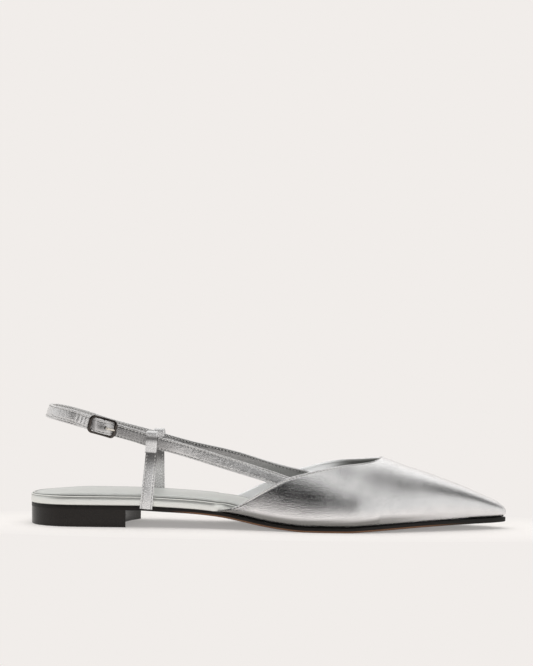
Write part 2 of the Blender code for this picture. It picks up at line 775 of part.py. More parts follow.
def sling_strap():
    points, leans = [], []
    for row in SLING_SEAT:
        point, lean = seat(row, MEDIAL, SLING_HEIGHT, SLING_THICKNESS)
        points.append(point)
        leans.append(lean)
    for i, row in enumerate(SLING_FREE):
        points.append(free_point(row, MEDIAL))
        leans.append(unit(leans[2] * max(0.6 - 0.3 * i, 0.0) + UP))
    for degrees in (8, 24, 40, 56, 72):
        turn = math.radians(degrees)
        points.append(loop_point(turn, MEDIAL, 0.0))
        leans.append(back_hint(turn, MEDIAL))
    for degrees in (90, 72, 56, 42, 30):
        turn = math.radians(degrees)
        points.append(loop_point(turn, LATERAL, 0.0))
        leans.append(back_hint(turn, LATERAL))
    under = MIDDLE_BAR_OUT - FOLD_RADIUS
    points.append(at_buckle(-END_BAR_AHEAD, 0.0, UNDER_BAR - STACK))
    points.append(at_buckle(-END_BAR_AHEAD * 0.5, 0.0, under - 0.0007))
    leans += [UP, UP]
    count = 70
    main, lean_main = spline(points, count, leans)
    fold = [at_buckle(-0.0012, 0.0, under)]
    for turn in range(-90, 106, 28):
        a = math.radians(turn)
        fold.append(at_buckle(FOLD_RADIUS * math.cos(a), 0.0, MIDDLE_BAR_OUT + FOLD_RADIUS * math.sin(a)))
    route = np.vstack([main, np.array(fold)])
    lean_route = np.vstack([lean_main, np.tile(buckle_frame_axes()[2], (len(fold), 1))])
    thick, wide = [], []
    for i in range(len(route)):
        ahead = np.dot(route[i] - at_buckle(0.0, 0.0, 0.0), buckle_frame_axes()[1])
        near = abs(route[i][0] - BUCKLE_ALONG) < 0.012 and route[i][1] < 0
        share = blend(-0.0100, -0.0035, ahead) if near else 0.0
        if i >= count:
            share = 1.0
        thick.append(SLING_THICKNESS + (FOLD_THICKNESS - SLING_THICKNESS) * share)
        wide.append(SLING_WIDTH + (BUCKLE_STRAP_WIDTH - SLING_WIDTH) * share)
    rings = band_rings(route, lean_route, wide, thick)
    piece = loft("sling_strap", [ring[::-1] for ring in rings][::-1], strap_finish, 60)
    slot = buckle_box("fold_slot", (0.006, 0.0024, 0.0050), (0.0030, 0.0, MIDDLE_BAR_OUT + 0.0008))
    cut(piece, slot)
    return piece


def band_at_loop(rows, side):
    place = SIDE_STRAP_ALONG[side] + SIDE_STRAP_LEAN[side] / SHOE_LENGTH
    rows = rows[::-1]
    height = smooth([r.along for r in rows], [r.height for r in rows])(place)
    aside = smooth([r.along for r in rows], [r.side for r in rows])(place)
    return free_point(BandRow(place, height, aside), side)


# A side strap: up the insole's side, inside the band, over it and down its outer side
def side_strap(name, side, band_middle, band_thickness, band_width):
    foot_x = SIDE_STRAP_ALONG[side] * SHOE_LENGTH
    lean = SIDE_STRAP_LEAN[side]
    half = SIDE_STRAP_THICKNESS / 2
    places = (foot_x - SIDE_STRAP_WIDTH / 2, foot_x, foot_x + SIDE_STRAP_WIDTH / 2)
    widest = max(side * outline(share_at(place), side, RAND_INSET)[1] for place in places)
    foot_edge = side * (widest + GAP + half)
    foot_z = sole_top(foot_x) - SIDE_STRAP_DROP
    inside = band_middle[1] - side * (band_thickness / 2 + GAP + half)
    outside = band_middle[1] + side * (band_thickness / 2 + GAP + half)
    slope = band_width / 2 / math.cos(math.radians(17)) + SIDE_LOOP_WIDTH / 2 * math.tan(math.radians(17))
    turn_z = band_middle[2] + slope - 2 * GAP
    loop_x = foot_x + lean
    lowest = turn_z - FLAP_LENGTH
    ease = 0.0060

    def at(z, y):
        share = (z - foot_z) / (turn_z - foot_z)
        return np.array([foot_x + lean * share, y, z])

    start = sole_top(foot_x) + INSOLE_THICKNESS + 0.002
    points = [at(foot_z, foot_edge), at((foot_z + start) / 2, foot_edge)]
    inner_start = lowest - ease
    for share in (0.0, 0.25, 0.5, 0.75, 1.0):
        z = start + share * (inner_start - start)
        points.append(at(z, foot_edge + (inside - foot_edge) * (0.10 + 0.75 * share)))
    points.append(at(lowest, inside))
    points.append(at(turn_z - 0.003, inside))
    points.append(at(turn_z, inside))
    radius = abs(outside - inside) / 2
    centre = (inside + outside) / 2
    for turn in (30, 60, 90, 120, 150):
        a = math.radians(turn)
        lift = radius * 0.75 * math.sin(a)
        points.append(np.array([loop_x, centre + (inside - centre) * math.cos(a), turn_z + lift]))
    points.append(at(turn_z, outside))
    points.append(at(turn_z - FLAP_LENGTH / 2, outside))
    points.append(at(lowest, outside))
    route = np.array(points)
    widths = []
    for point in route:
        share = min((point[2] - foot_z) / (lowest - foot_z), 1.0)
        widths.append(SIDE_STRAP_WIDTH + (SIDE_LOOP_WIDTH - SIDE_STRAP_WIDTH) * share)
    hint = unit(np.array([1.0, 0.0, -lean / (turn_z - foot_z)]))
    rings = band_rings(route, [hint] * len(route), widths, [SIDE_STRAP_THICKNESS] * len(route))
    return loft(name, rings, strap_finish, 60)


# Buckle frame: a bowed rounded rectangle, with its middle bar joined on
def bow(ahead):
    return MIDDLE_BAR_OUT + BUCKLE_BOW * min(abs(ahead) / END_BAR_AHEAD, 1.0) ** 2


def buckle_frame():
    corner = 0.0022
    half_length = END_BAR_AHEAD
    half_height = (BUCKLE_HEIGHT - BUCKLE_BAR) / 2
    path = []
    for quarter, (sx, sy) in enumerate(((1, 1), (-1, 1), (-1, -1), (1, -1))):
        for i in range(4):
            turn = math.radians(90 * quarter + 30 * i)
            ahead = sx * (half_length - corner) + corner * math.cos(turn)
            path.append((ahead, sy * (half_height - corner) + corner * math.sin(turn), turn))
        steps = 3 if quarter in (0, 2) else 1
        for i in range(1, steps + 1):
            share = i / (steps + 1)
            turn = math.radians(90 * (quarter + 1))
            if quarter in (0, 2):
                ahead = sx * (half_length - corner) * (1 - 2 * share)
                path.append((ahead, sy * half_height, turn))
            else:
                path.append((sx * half_length, sy * (half_height - corner) * (1 - 2 * share), turn))
    rings = []
    for ahead, up, turn in path:
        end = abs(math.cos(turn))
        wide = (BUCKLE_BAR + (BUCKLE_END_BAR - BUCKLE_BAR) * end) / 2
        deep = BUCKLE_BAR / 2
        ring = []
        for i in range(8):
            a = math.radians(45 * i + 22.5)
            side_way = wide * 1.08 * math.cos(a)
            out = deep * 1.08 * math.sin(a)
            ring.append(at_buckle(ahead + side_way * math.cos(turn), up + side_way * math.sin(turn),
                                  bow(ahead) + out))
        rings.append(ring)
    points = [p for ring in rings for p in ring]
    size = 8
    faces = []
    for i in range(len(rings)):
        n = (i + 1) % len(rings)
        for j in range(size):
            k = (j + 1) % size
            faces.append([i * size + j, n * size + j, n * size + k, i * size + k])
    metal = finish("buckle_metal", (0.10, 0.095, 0.09), 0.25, 1.0)
    frame = finish_mesh("buckle_frame", points, faces, metal)
    bar = []
    radius = BUCKLE_BAR / 2
    for up in (-half_height, half_height):
        turns = [2 * math.pi * i / size for i in range(size)]
        bar.append([at_buckle(radius * math.sin(a), up, MIDDLE_BAR_OUT + radius * math.cos(a)) for a in turns])
    cut(frame, prism_guide("middle_bar", *bar), "UNION")
    return frame


def buckle_prong():
    half = PRONG_THICKNESS / 2
    rest_out = END_BAR_OUT + BUCKLE_BAR * 0.54 + GAP + half
    over = OVER_BAR + BUCKLE_STRAP_THICKNESS / 2 + GAP + half
    root = BUCKLE_BAR / 2 + GAP + half
    points = [
        (root, MIDDLE_BAR_OUT), (root + 0.0002, MIDDLE_BAR_OUT + 0.0012),
        (root + 0.0009, OVER_BAR - 0.0003), (root + 0.0019, over - 0.0003),
        (root + 0.0034, over - 0.0006), (END_BAR_AHEAD - 0.0006, rest_out + 0.0002),
        (END_BAR_AHEAD + 0.0004, rest_out),
    ]
    route = spline([at_buckle(a, 0.0, o) for a, o in points], 16)
    _, forward, across, outward = buckle_frame_axes()
    widths = [PRONG_THICKNESS * 1.1 * (1 - 0.35 * i / 15) for i in range(16)]
    thick = [PRONG_THICKNESS * (1 - 0.25 * i / 15) for i in range(16)]
    rings = band_rings(route, [across] * 16, widths, thick)
    metal = finish("prong_metal", (0.55, 0.54, 0.52), 0.25, 1.0)
    return loft("buckle_prong", rings, metal)


strap_finish = finish("strap_leather", (0.50, 0.50, 0.49), 0.32, 0.9)

outsole()
heel()
upper()
insole()
sock()
buckle_strap()
sling_strap()
for name, side, rows, thickness, width in (
    ("side_strap_lateral", LATERAL, BUCKLE_STRAP_FREE, BUCKLE_STRAP_THICKNESS, BUCKLE_STRAP_WIDTH),
    ("side_strap_medial", MEDIAL, SLING_FREE, SLING_THICKNESS, SLING_WIDTH),
):
    side_strap(name, side, band_at_loop(rows, side), thickness, width)
buckle_frame()
buckle_prong()
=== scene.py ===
# Sling back flat in silver leather, a right shoe. Metres: +X to the toe, +Y inner side, +Z up.
import math

import bmesh
import bpy
import numpy as np
from mathutils import Matrix


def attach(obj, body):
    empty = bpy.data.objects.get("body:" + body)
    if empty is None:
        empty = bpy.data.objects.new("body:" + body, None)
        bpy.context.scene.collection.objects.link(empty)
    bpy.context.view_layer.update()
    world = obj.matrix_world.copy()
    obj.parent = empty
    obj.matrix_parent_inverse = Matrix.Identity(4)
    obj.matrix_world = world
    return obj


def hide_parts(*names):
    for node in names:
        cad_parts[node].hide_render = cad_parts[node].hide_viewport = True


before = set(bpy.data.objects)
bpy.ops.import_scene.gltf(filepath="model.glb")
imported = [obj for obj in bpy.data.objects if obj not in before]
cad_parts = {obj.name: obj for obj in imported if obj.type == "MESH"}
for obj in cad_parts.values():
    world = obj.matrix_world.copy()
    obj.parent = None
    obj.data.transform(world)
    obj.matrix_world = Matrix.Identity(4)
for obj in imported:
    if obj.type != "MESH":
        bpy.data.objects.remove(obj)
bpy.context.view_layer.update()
lateral, medial = -1, 1
up = np.array([0.0, 0.0, 1.0])

# The camera comes first: it stands where the photograph was taken from
cameraSet = {"place": (0.1866, -0.8963, 0.0916), "turn": 5.19, "pitch": -1.06, "roll": 0.34, "lens": 86.05}


def stand(thing, right, above, back, place):
    matrix = np.eye(4)
    matrix[:3] = np.column_stack([right, above, back, place])
    thing.matrix_world = Matrix(matrix.tolist())
    bpy.context.collection.objects.link(thing)


def placeCamera(given):
    a, p, r = (math.radians(given[key]) for key in ("turn", "pitch", "roll"))
    back = np.array([math.sin(a) * math.cos(p), -math.cos(a) * math.cos(p), math.sin(p)])
    right = np.array([math.cos(a), math.sin(a), 0.0])
    above = np.cross(back, right)
    camera = bpy.data.objects.new("camera", bpy.data.cameras.new("camera"))
    camera.data.lens = given["lens"]
    camera.data.sensor_width = 36
    camera.data.clip_start = 0.05
    rolledRight = math.cos(r) * right + math.sin(r) * above
    stand(camera, rolledRight, math.cos(r) * above - math.sin(r) * right, back, given["place"])
    bpy.context.scene.camera = camera


placeCamera(cameraSet)
print("camera placed")


# Shader maths
class Wire:
    def __init__(self, tree, socket=None):
        self.tree = tree
        self.socket = socket

    def node(self, kind, settings=None, sockets=None, output=0):
        made = self.tree.nodes.new(kind)
        for key, value in (settings or {}).items():
            if key == "stops":
                marks = made.color_ramp.elements
                while len(marks) < len(value):
                    marks.new(0.5)
                for mark, (place, shade) in zip(marks, value):
                    mark.position = place
                    mark.color = (*shade, 1.0) if isinstance(shade, tuple) else (shade, shade, shade, 1.0)
            else:
                setattr(made, key, value)
        for key, value in (sockets or {}).items():
            if isinstance(value, Wire):
                self.tree.links.new(value.socket, made.inputs[key])
            else:
                made.inputs[key].default_value = value
        return Wire(self.tree, made.outputs[output]) if made.outputs else made

    def maths(self, operation, first, second=0.0):
        return self.node("ShaderNodeMath", {"operation": operation}, {0: first, 1: second})

    def __add__(self, other):
        return self.maths("ADD", self, other)

    def __radd__(self, other):
        return self.maths("ADD", other, self)

    def __sub__(self, other):
        return self.maths("SUBTRACT", self, other)

    def __rsub__(self, other):
        return self.maths("SUBTRACT", other, self)

    def __mul__(self, other):
        return self.maths("MULTIPLY", self, other)

    def __rmul__(self, other):
        return self.maths("MULTIPLY", other, self)

    def clip(self):
        return self.node("ShaderNodeClamp", {}, {0: self})

    def over(self, low, high):  # 0 under low, 1 above high
        return self.node("ShaderNodeMapRange", {}, {0: self, 1: low, 2: high})

    def colours(self, first, second):  # first where this is 0, second where it is 1
        return self.node("ShaderNodeMix", {"data_type": "RGBA"}, {0: self, 6: first, 7: second}, 2)

    def noise(self, scale, detail):
        return self.node("ShaderNodeTexNoise", {}, {"Vector": self, "Scale": scale, "Detail": detail})

    def bump(self, strength, distance, under=None):
        sockets = {"Height": self, "Strength": strength, "Distance": distance}
        return self.node("ShaderNodeBump", {}, dict(sockets, Normal=under) if under else sockets)


def rgb(red, green, blue):  # screen values 0 to 255 to scene colours
    return tuple((v / 255 / 12.92 if v < 10.3 else ((v / 255 + 0.055) / 1.055) ** 2.4)
                 for v in (red, green, blue)) + (1.0,)


def startFinish(name):
    finish = bpy.data.materials.new(name)
    finish.use_nodes = True
    wire = Wire(finish.node_tree)
    return finish, wire, wire.node("ShaderNodeTexCoord", output=3)


def shadeMark(wire):  # the shade that a piece's points carry
    return wire.node("ShaderNodeAttribute", {"attribute_name": "shade"}, output=2)


def closeFinish(finish, given, base, roughness, bump):
    shader = finish.node_tree.nodes["Principled BSDF"]
    for name, wire in (("Base Color", base), ("Roughness", roughness.clip()), ("Normal", bump)):
        finish.node_tree.links.new(wire.socket, shader.inputs[name])
    shader.inputs["Metallic"].default_value = given["metallic"]
    shader.inputs["Specular IOR Level"].default_value = given.get("specular", 0.5)
    finish.diffuse_color = given["light"]
    return finish


def leather(name, given):
    finish, wire, place = startFinish(name)
    cloud = place.noise(given["cloud"], 3.0)
    speck = place.noise(given["grain"] * 1.7, 4.0)
    cell = wire.node("ShaderNodeTexVoronoi", {"feature": "F1"},
                     {"Vector": place, "Scale": given["grain"], "Randomness": 0.9})
    tone = (cloud.over(0.35, 0.65) * 0.35 + speck.over(0.3, 0.7) * 0.65).clip()
    base = shadeMark(wire).colours(tone.colours(given["dark"], given["light"]), given["shadow"])
    roughness = given["roughness"] + (speck - 0.5) * given["roughVary"] + (cloud - 0.5) * 0.10
    grain = (cell * 0.35 + speck).bump(given["bump"], given["deep"])
    waves = place.noise(given["wave"], 2.0).bump(given["waveDepth"], 0.001, grain)
    return closeFinish(finish, given, base, roughness, waves)


vampLook = {
    "dark": rgb(224, 223, 224), "light": rgb(243, 242, 242), "shadow": rgb(120, 119, 116), "metallic": 0.98,
    "roughness": 0.17, "roughVary": 0.26, "bump": 0.95, "deep": 0.00017, "grain": 1250, "cloud": 120,
    "wave": 90, "waveDepth": 0.04,
}
strapLook = dict(
    vampLook, roughness=0.30, metallic=0.88, bump=0.80, grain=1150, deep=0.0002, wave=330, waveDepth=0.20,
    dark=rgb(206, 205, 205), light=rgb(232, 231, 231), shadow=rgb(60, 59, 58))
flapLook = dict(strapLook, roughness=0.26, bump=0.40, wave=260, waveDepth=0.06, metallic=0.62)
randLook = dict(
    vampLook, roughness=0.34, roughVary=0.15, bump=0.16, wave=60, waveDepth=0.04, metallic=0.72,
    dark=rgb(220, 221, 217), light=rgb(230, 231, 227))
sockLook = dict(
    vampLook, roughness=0.42, roughVary=0.15, bump=0.22, wave=50, waveDepth=0.06, metallic=0.50,
    dark=rgb(192, 194, 190), light=rgb(203, 204, 201), shadow=rgb(96, 95, 92))
liningLook = dict(
    vampLook, roughness=0.44, roughVary=0.12, metallic=0.15,
    dark=rgb(240, 240, 240), light=rgb(248, 248, 248), shadow=rgb(96, 96, 92))


def plainFinish(name, given):
    finish, wire, place = startFinish(name)
    speck = place.noise(given["scale"], 4.0)
    base = speck.over(0.3, 0.7).colours(given["dark"], given["light"])
    if "band" in given:
        base = shadeMark(wire).colours(base, given["band"])
    roughness = given["roughness"] + (speck - 0.5) * given["roughVary"]
    return closeFinish(finish, given, base, roughness, speck.bump(given["bump"], 0.0001))


vampFinish = leather("vampSilver", vampLook)
strapFinish = leather("strapSilver", strapLook)
randFinish = leather("randSilver", randLook)
sockFinish = leather("sockLeather", sockLook)
liningFinish = leather("liningLeather", liningLook)
flapFinish = leather("flapSilver", flapLook)
soleFinish = plainFinish("soleEdge", {
    "dark": rgb(19, 17, 16), "light": rgb(27, 24, 22), "band": rgb(112, 80, 58), "scale": 900,
    "roughness": 0.45, "roughVary": 0.25, "bump": 0.25, "metallic": 0.0, "specular": 0.2})
heelFinish = plainFinish("heelBlack", {
    "dark": rgb(18, 15, 13), "light": rgb(25, 21, 18), "scale": 700, "roughness": 0.30,
    "roughVary": 0.20, "bump": 0.15, "metallic": 0.0, "specular": 0.3})
threadFinish = plainFinish("threadGrey", {
    "dark": rgb(178, 177, 174), "light": rgb(212, 211, 208), "scale": 4000, "roughness": 0.55,
    "roughVary": 0.2, "bump": 0.4, "metallic": 0.2})
# painted shade and reflection: the buckle frame's metal has a dark colour, while the prong keeps a light metal
# colour
buckleFinish = plainFinish("shadedBuckleMetal", {
    "dark": rgb(70, 66, 63), "light": rgb(90, 85, 81), "scale": 500, "roughness": 0.20,
    "roughVary": 0.10, "bump": 0.05, "metallic": 1.0})
prongFinish = plainFinish("prongMetal", {
    "dark": rgb(214, 208, 198), "light": rgb(232, 226, 216), "scale": 500, "roughness": 0.18,
    "roughVary": 0.10, "bump": 0.05, "metallic": 1.0})
print("finishes made")


# Sizes of the shoe, the same as the solids'
shoe = {
    "length": 0.2675, "ball": 0.077, "waist": 0.0465, "heelWidth": 0.0535, "instep": 0.0351, "seat": 0.0094,
    "toeSpring": 0.0037, "heelRound": 0.030, "noseRound": 0.012, "outsole": 0.0026, "insole": 0.0047,
    "insoleFore": 0.0028, "sock": 0.0014, "gap": 0.0003, "originAlong": 0.028,
}
length = shoe["length"]
# along the shoe, full width, share of it on each side, swing of the middle line
outlineTable = [
    (0.000, "heelWidth", 0.485, -0.003), (0.112, "heelWidth", 0.500, -0.003),
    (0.187, "heelWidth", 0.486, -0.007), (0.281, "waist", 0.521, -0.020), (0.363, "waist", 0.500, -0.046),
    (0.468, "ball", 0.341, -0.066), (0.562, "ball", 0.428, -0.052), (0.637, "ball", 0.489, -0.023),
    (0.690, "ball", 0.500, -0.006), (0.749, "ball", 0.455, 0.007), (0.824, "ball", 0.352, 0.023),
    (0.899, "ball", 0.231, 0.029), (0.955, "ball", 0.135, 0.032), (1.000, "ball", 0.070, 0.032),
]
# along the shoe, share of the seat's height, share of the toe spring
bottomTable = [
    (0.000, 1.00, 0.00), (0.240, 1.00, 0.00), (0.288, 0.94, 0.00), (0.352, 0.86, 0.00), (0.416, 0.70, 0.00),
    (0.460, 0.48, 0.00), (0.501, 0.26, 0.00), (0.543, 0.10, 0.00), (0.592, 0.00, 0.00), (0.670, 0.00, 0.00),
    (0.723, 0.00, 0.20), (0.785, 0.00, 0.48), (0.846, 0.00, 0.70), (0.906, 0.00, 0.86), (1.000, 0.00, 1.00),
]
# along the shoe, ridge height, height of the widest line, fullness of the section
vampTable = [
    (0.380, 1.20, 1.00, 1.90), (0.430, 1.25, 1.00, 1.90), (0.490, 1.30, 1.00, 1.90), (0.545, 1.31, 1.00, 1.90),
    (0.592, 1.27, 1.00, 1.88), (0.648, 1.19, 1.00, 1.85), (0.693, 1.10, 1.00, 1.80), (0.742, 1.00, 1.00, 1.80),
    (0.794, 0.835, 1.00, 1.95), (0.835, 0.722, 0.98, 2.15), (0.873, 0.605, 0.92, 2.40),
    (0.914, 0.476, 0.80, 2.60), (0.951, 0.350, 0.65, 2.80), (0.980, 0.252, 0.48, 2.80),
    (1.000, 0.180, 0.36, 2.80),
]
# from a wing's end (0) to the throat (1): topline height at the outer and the inner side
toplineTable = [
    (0.000, 0.025, 0.030), (0.080, 0.095, 0.125), (0.160, 0.210, 0.228), (0.250, 0.342, 0.350),
    (0.330, 0.450, 0.456), (0.420, 0.555, 0.550), (0.550, 0.660, 0.662), (0.680, 0.748, 0.764),
    (0.800, 0.832, 0.848), (0.880, 0.878, 0.898), (0.940, 0.920, 0.940), (0.985, 0.972, 0.980),
    (1.000, 1.000, 1.000),
]
vamp = {
    "wall": 0.0016, "bulge": 0.0068, "overhang": 0.0003, "tuck": 0.0018, "noseSetback": 0.0085,
    "ridgeLean": 0.0015, "throat": 0.742, "wingEnd": {lateral: 0.418, medial: 0.398},
    "stitchIn": 0.0015, "stitchPitch": 0.0019, "liningSwell": 0.0026, "groove": 0.00020, "fold": 0.00020,
    "soleShade": (0.0030, 0.0054), "wings": 64, "front": 46, "nose": 16, "shortRib": 0.011,
}


def smooth(places, values):
    places, values = np.array(places, float), np.array(values, float)
    step = np.diff(places)
    rise = np.diff(values) / step
    slope = np.zeros(len(places))
    slope[0], slope[-1] = rise[0], rise[-1]
    for i in range(1, len(places) - 1):
        if rise[i - 1] * rise[i] > 0:
            before, after = 2 * step[i] + step[i - 1], step[i] + 2 * step[i - 1]
            slope[i] = (before + after) / (before / rise[i - 1] + after / rise[i])

    def value(place):
        place = np.asarray(place, float)
        i = np.clip(np.searchsorted(places, place, side="right") - 1, 0, len(places) - 2)
        t = (place - places[i]) / step[i]
        start = values[i] * (1 + 2 * t) * (1 - t) ** 2 + values[i + 1] * t * t * (3 - 2 * t)
        bend = slope[i] * t * (1 - t) ** 2 + slope[i + 1] * t * t * (t - 1)
        result = start + bend * step[i]
        result = np.where(place < places[0], values[0] + slope[0] * (place - places[0]), result)
        return np.where(place > places[-1], values[-1] + slope[-1] * (place - places[-1]), result)

    return value


def runAlong(path):  # how far along a path each of its points lies
    return np.concatenate([[0.0], np.cumsum(np.linalg.norm(np.diff(path, axis=0), axis=1))])


def spline(points, count, hints=None):
    points = np.array(points, float)
    knots = runAlong(points)
    if hints is not None:
        points = np.hstack([points, np.array(hints, float)])
    size = len(points)
    system, right = np.eye(size), np.zeros((size, points.shape[1]))
    for i in range(1, size - 1):
        before, after = knots[i] - knots[i - 1], knots[i + 1] - knots[i]
        system[i, i - 1:i + 2] = [before, 2 * (before + after), after]
        right[i] = 6 * ((points[i + 1] - points[i]) / after - (points[i] - points[i - 1]) / before)
    bend = np.linalg.solve(system, right)
    place = np.linspace(0, knots[-1], count)
    i = np.clip(np.searchsorted(knots, place, side="right") - 1, 0, size - 2)
    step = (knots[i + 1] - knots[i])[:, None]
    a = (knots[i + 1] - place)[:, None] / step
    b = 1 - a
    result = a * points[i] + b * points[i + 1]
    result = result + ((a ** 3 - a) * bend[i] + (b ** 3 - b) * bend[i + 1]) * step * step / 6
    return result if hints is None else (result[:, :3], result[:, 3:])


def ease(low, high, value):
    t = np.clip((np.asarray(value, float) - low) / (high - low), 0.0, 1.0)
    return t * t * (3 - 2 * t)


def unit(vector):
    vector = np.asarray(vector, float)
    return vector / np.maximum(np.linalg.norm(vector, axis=-1, keepdims=True), 1e-12)


def byLength(table, value):  # a smooth line through the rows of a table
    return smooth([row[0] * length for row in table], [value(row) for row in table])


halfWidth = byLength(outlineTable, lambda row: shoe[row[1]] * row[2])
middleLine = byLength(outlineTable, lambda row: row[3] * shoe["ball"])
soleBottom = byLength(bottomTable, lambda row: row[1] * shoe["seat"] + row[2] * shoe["toeSpring"])
ridgeRise = byLength(vampTable, lambda row: row[1] * shoe["instep"])
bulgeRise = byLength(vampTable, lambda row: row[2] * vamp["bulge"])
fullness = byLength(vampTable, lambda row: row[3])
toplineShare = {side: smooth([r[0] for r in toplineTable], [r[column] for r in toplineTable])
                for side, column in ((lateral, 1), (medial, 2))}
backShare, noseShare, backFullness = 0.20, 0.90, 2.25


def soleTop(x):
    return soleBottom(x) + shoe["outsole"]


def along(t):
    t = np.asarray(t, float)
    back = shoe["heelRound"] * (1 - np.cos(t / backShare * math.pi / 2))
    nose = length - shoe["noseRound"] * (1 - np.sin((t - noseShare) / (1 - noseShare) * math.pi / 2))
    share = (t - backShare) / (noseShare - backShare)
    middle = shoe["heelRound"] + share * (length - shoe["noseRound"] - shoe["heelRound"])
    return np.where(t < backShare, back, np.where(t > noseShare, nose, middle))


shareTable = np.linspace(0, 1, 20001)
placeTable = along(shareTable)


def shareAt(x):
    return np.interp(x, placeTable, shareTable)


def edge(t, side):
    t = np.asarray(t, float)
    x = along(t)
    back = np.maximum(1 - np.maximum(1 - x / shoe["heelRound"], 0.0) ** backFullness, 0.0) ** (1 / backFullness)
    nose = np.cos((t - noseShare) / (1 - noseShare) * math.pi / 2)
    ending = np.where(t < backShare, back, np.where(t > noseShare, nose, 1.0))
    return np.stack([x, middleLine(x) + side * halfWidth(x) * ending], axis=-1)


def outline(t, side, inset):
    t = np.asarray(t, float)
    near = 0.002
    direction = unit(edge(np.minimum(t + near, 1.0), side) - edge(np.maximum(t - near, 0.0), side))
    outward = side * np.stack([-direction[..., 1], direction[..., 0]], axis=-1)
    outward = np.where((t >= 1.0)[..., None], np.array([1.0, 0.0]), outward)
    return edge(t, side) - outward * np.asarray(inset, float)[..., None]


# Meshes
def makePiece(name, points, faces, finish, node=None, shade=None, sharp=45, normals=True):
    points = np.array(points, float)
    points[:, 0] -= shoe["originAlong"]
    mesh = bpy.data.meshes.new(name)
    mesh.from_pydata(points.tolist(), [], faces)
    mesh.validate()
    if normals:
        work = bmesh.new()
        work.from_mesh(mesh)
        bmesh.ops.recalc_face_normals(work, faces=work.faces)
        work.to_mesh(mesh)
        work.free()
    for one in finish if isinstance(finish, (list, tuple)) else [finish]:
        mesh.materials.append(one)
    layer = mesh.attributes.new("shade", "FLOAT", "POINT")
    if shade is not None:
        layer.data.foreach_set("value", np.asarray(shade, np.float32))
    mesh.shade_smooth()
    mesh.set_sharp_from_angle(angle=math.radians(sharp))
    piece = bpy.data.objects.new(name, mesh)
    bpy.context.collection.objects.link(piece)
    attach(piece, "root")
    if node:
        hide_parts(node)
    return piece


def ringFaces(ringCount, size, closed=False, capped=True, start=0):
    faces = []
    for i in range(ringCount if closed else ringCount - 1):
        near, far = start + i * size, start + (i + 1) % ringCount * size
        for j in range(size):
            k = (j + 1) % size
            faces.append([near + j, near + k, far + k, far + j])
    if capped and not closed:
        faces.append([start + j for j in range(size)][::-1])
        faces.append([start + (ringCount - 1) * size + j for j in range(size)])
    return faces


# A plate that follows the sole. Rows of its profile, from the edge to the top:
# extra inset, share of the height, lift, shade (painted shade in grooves and along lower edges; on the outsole
# it marks the brown band)
def plate(name, places, inset, bottom, top, given, finish, node, markAlong=lambda x: 1.0):
    profile, cross = given["profile"], given["cross"]
    rows, rings, shades = len(profile), [], []
    for t in places:
        sides = {side: [] for side in (medial, lateral)}
        for side, column in sides.items():
            for extra, rise, lift, _ in profile:
                x, y = outline(t, side, inset(along(t), side) + extra)
                low, high = bottom(x), top(x)
                column.append((float(x), float(y), float(low + rise * (high - low) + lift)))
        first, last = np.array(sides[medial][-1]), np.array(sides[lateral][-1])
        middle = []
        for share in np.linspace(0, 1, cross + 2)[1:-1]:
            point = first + (last - first) * share
            full = min(np.linalg.norm(last - first) / given["fullCrown"], 1.0)
            point[2] += given["crown"] * 4 * share * (1 - share) * full
            middle.append(tuple(point))
        rings += sides[medial] + middle + sides[lateral][::-1]
        marks = [row[3] * markAlong(float(along(t))) for row in profile]
        shades += marks + [0.0] * cross + marks[::-1]
    size = 2 * rows + cross
    faces = ringFaces(len(places), size, capped=False)
    for start in (0, (len(places) - 1) * size):  # the ends are closed row by row, so their lines run round
        end = start + size
        faces += [[start + k, start + k + 1, end - 2 - k, end - 1 - k] for k in range(rows - 1)]
        faces.append([start + k for k in range(rows - 1, rows + cross + 1)])
    return makePiece(name, rings, faces, finish, node, shades, 50)


def stations(first, last, back, middle, nose):
    turn = np.linspace(0, 1, back, endpoint=False) ** 1.3
    return np.concatenate([first + (backShare - first) * turn,
                           np.linspace(backShare, noseShare, middle, endpoint=False),
                           np.linspace(noseShare, last, nose)])


# Outsole: a thin black edge, its lower bevel brown along the waist and the ball
outsoleSet = {
    "brown": (0.30, 0.37, 0.81, 0.93), "cross": 6, "crown": 0.0, "fullCrown": 0.03,
    "profile": [(0.0040, 0.0, 0.0, 0.0), (0.0006, 0.0, 0.0, 0.0), (0.0002, 0.08, 0.0, 0.5),
                (0.0, 0.20, 0.0, 1.0), (0.0, 0.30, 0.0, 0.8), (0.0, 0.42, 0.0, 0.0),
                (0.0, 0.95, 0.0, 0.0), (0.0001, 1.0, 0.0, 0.0), (0.0020, 1.0, 0.0, 0.0)],
}


def brownBevel(x):
    start, full, less, end = (share * length for share in outsoleSet["brown"])
    return float(ease(start, full, x) * (1 - ease(less, end, x)))


def noInset(x, side):
    return 0.0


plate("outsoleBody", stations(0.003, 0.997, 26, 110, 26), noInset, soleBottom, soleTop, outsoleSet,
      soleFinish, "outsole", brownBevel)

# Heel block: nearly upright, its front face hollow, its bottom edge rounded
heelSet = {
    "length": 0.058, "hollow": 0.006, "sides": 40, "breast": 14, "tuckedUp": 0.0004,
    "levels": [(0.0010, 0.0), (0.0004, 0.0002), (0.0002, 0.0006), (0.00015, 0.004)],  # inset, height
}


def heelRing(inset, z, given):
    corner = float(shareAt(given["length"]))
    turns = np.linspace(corner, 0.003, given["sides"])
    ring = [(*outline(t, medial, inset), z) for t in turns]
    ring += [(*outline(t, lateral, inset), z) for t in turns[::-1]]
    near, far = ring[-1], ring[0]
    for share in np.linspace(0, 1, given["breast"] + 2)[1:-1]:
        y = near[1] + share * (far[1] - near[1])
        ring.append((near[0] - given["hollow"] * (1 - (2 * share - 1) ** 2), y, z))
    return ring


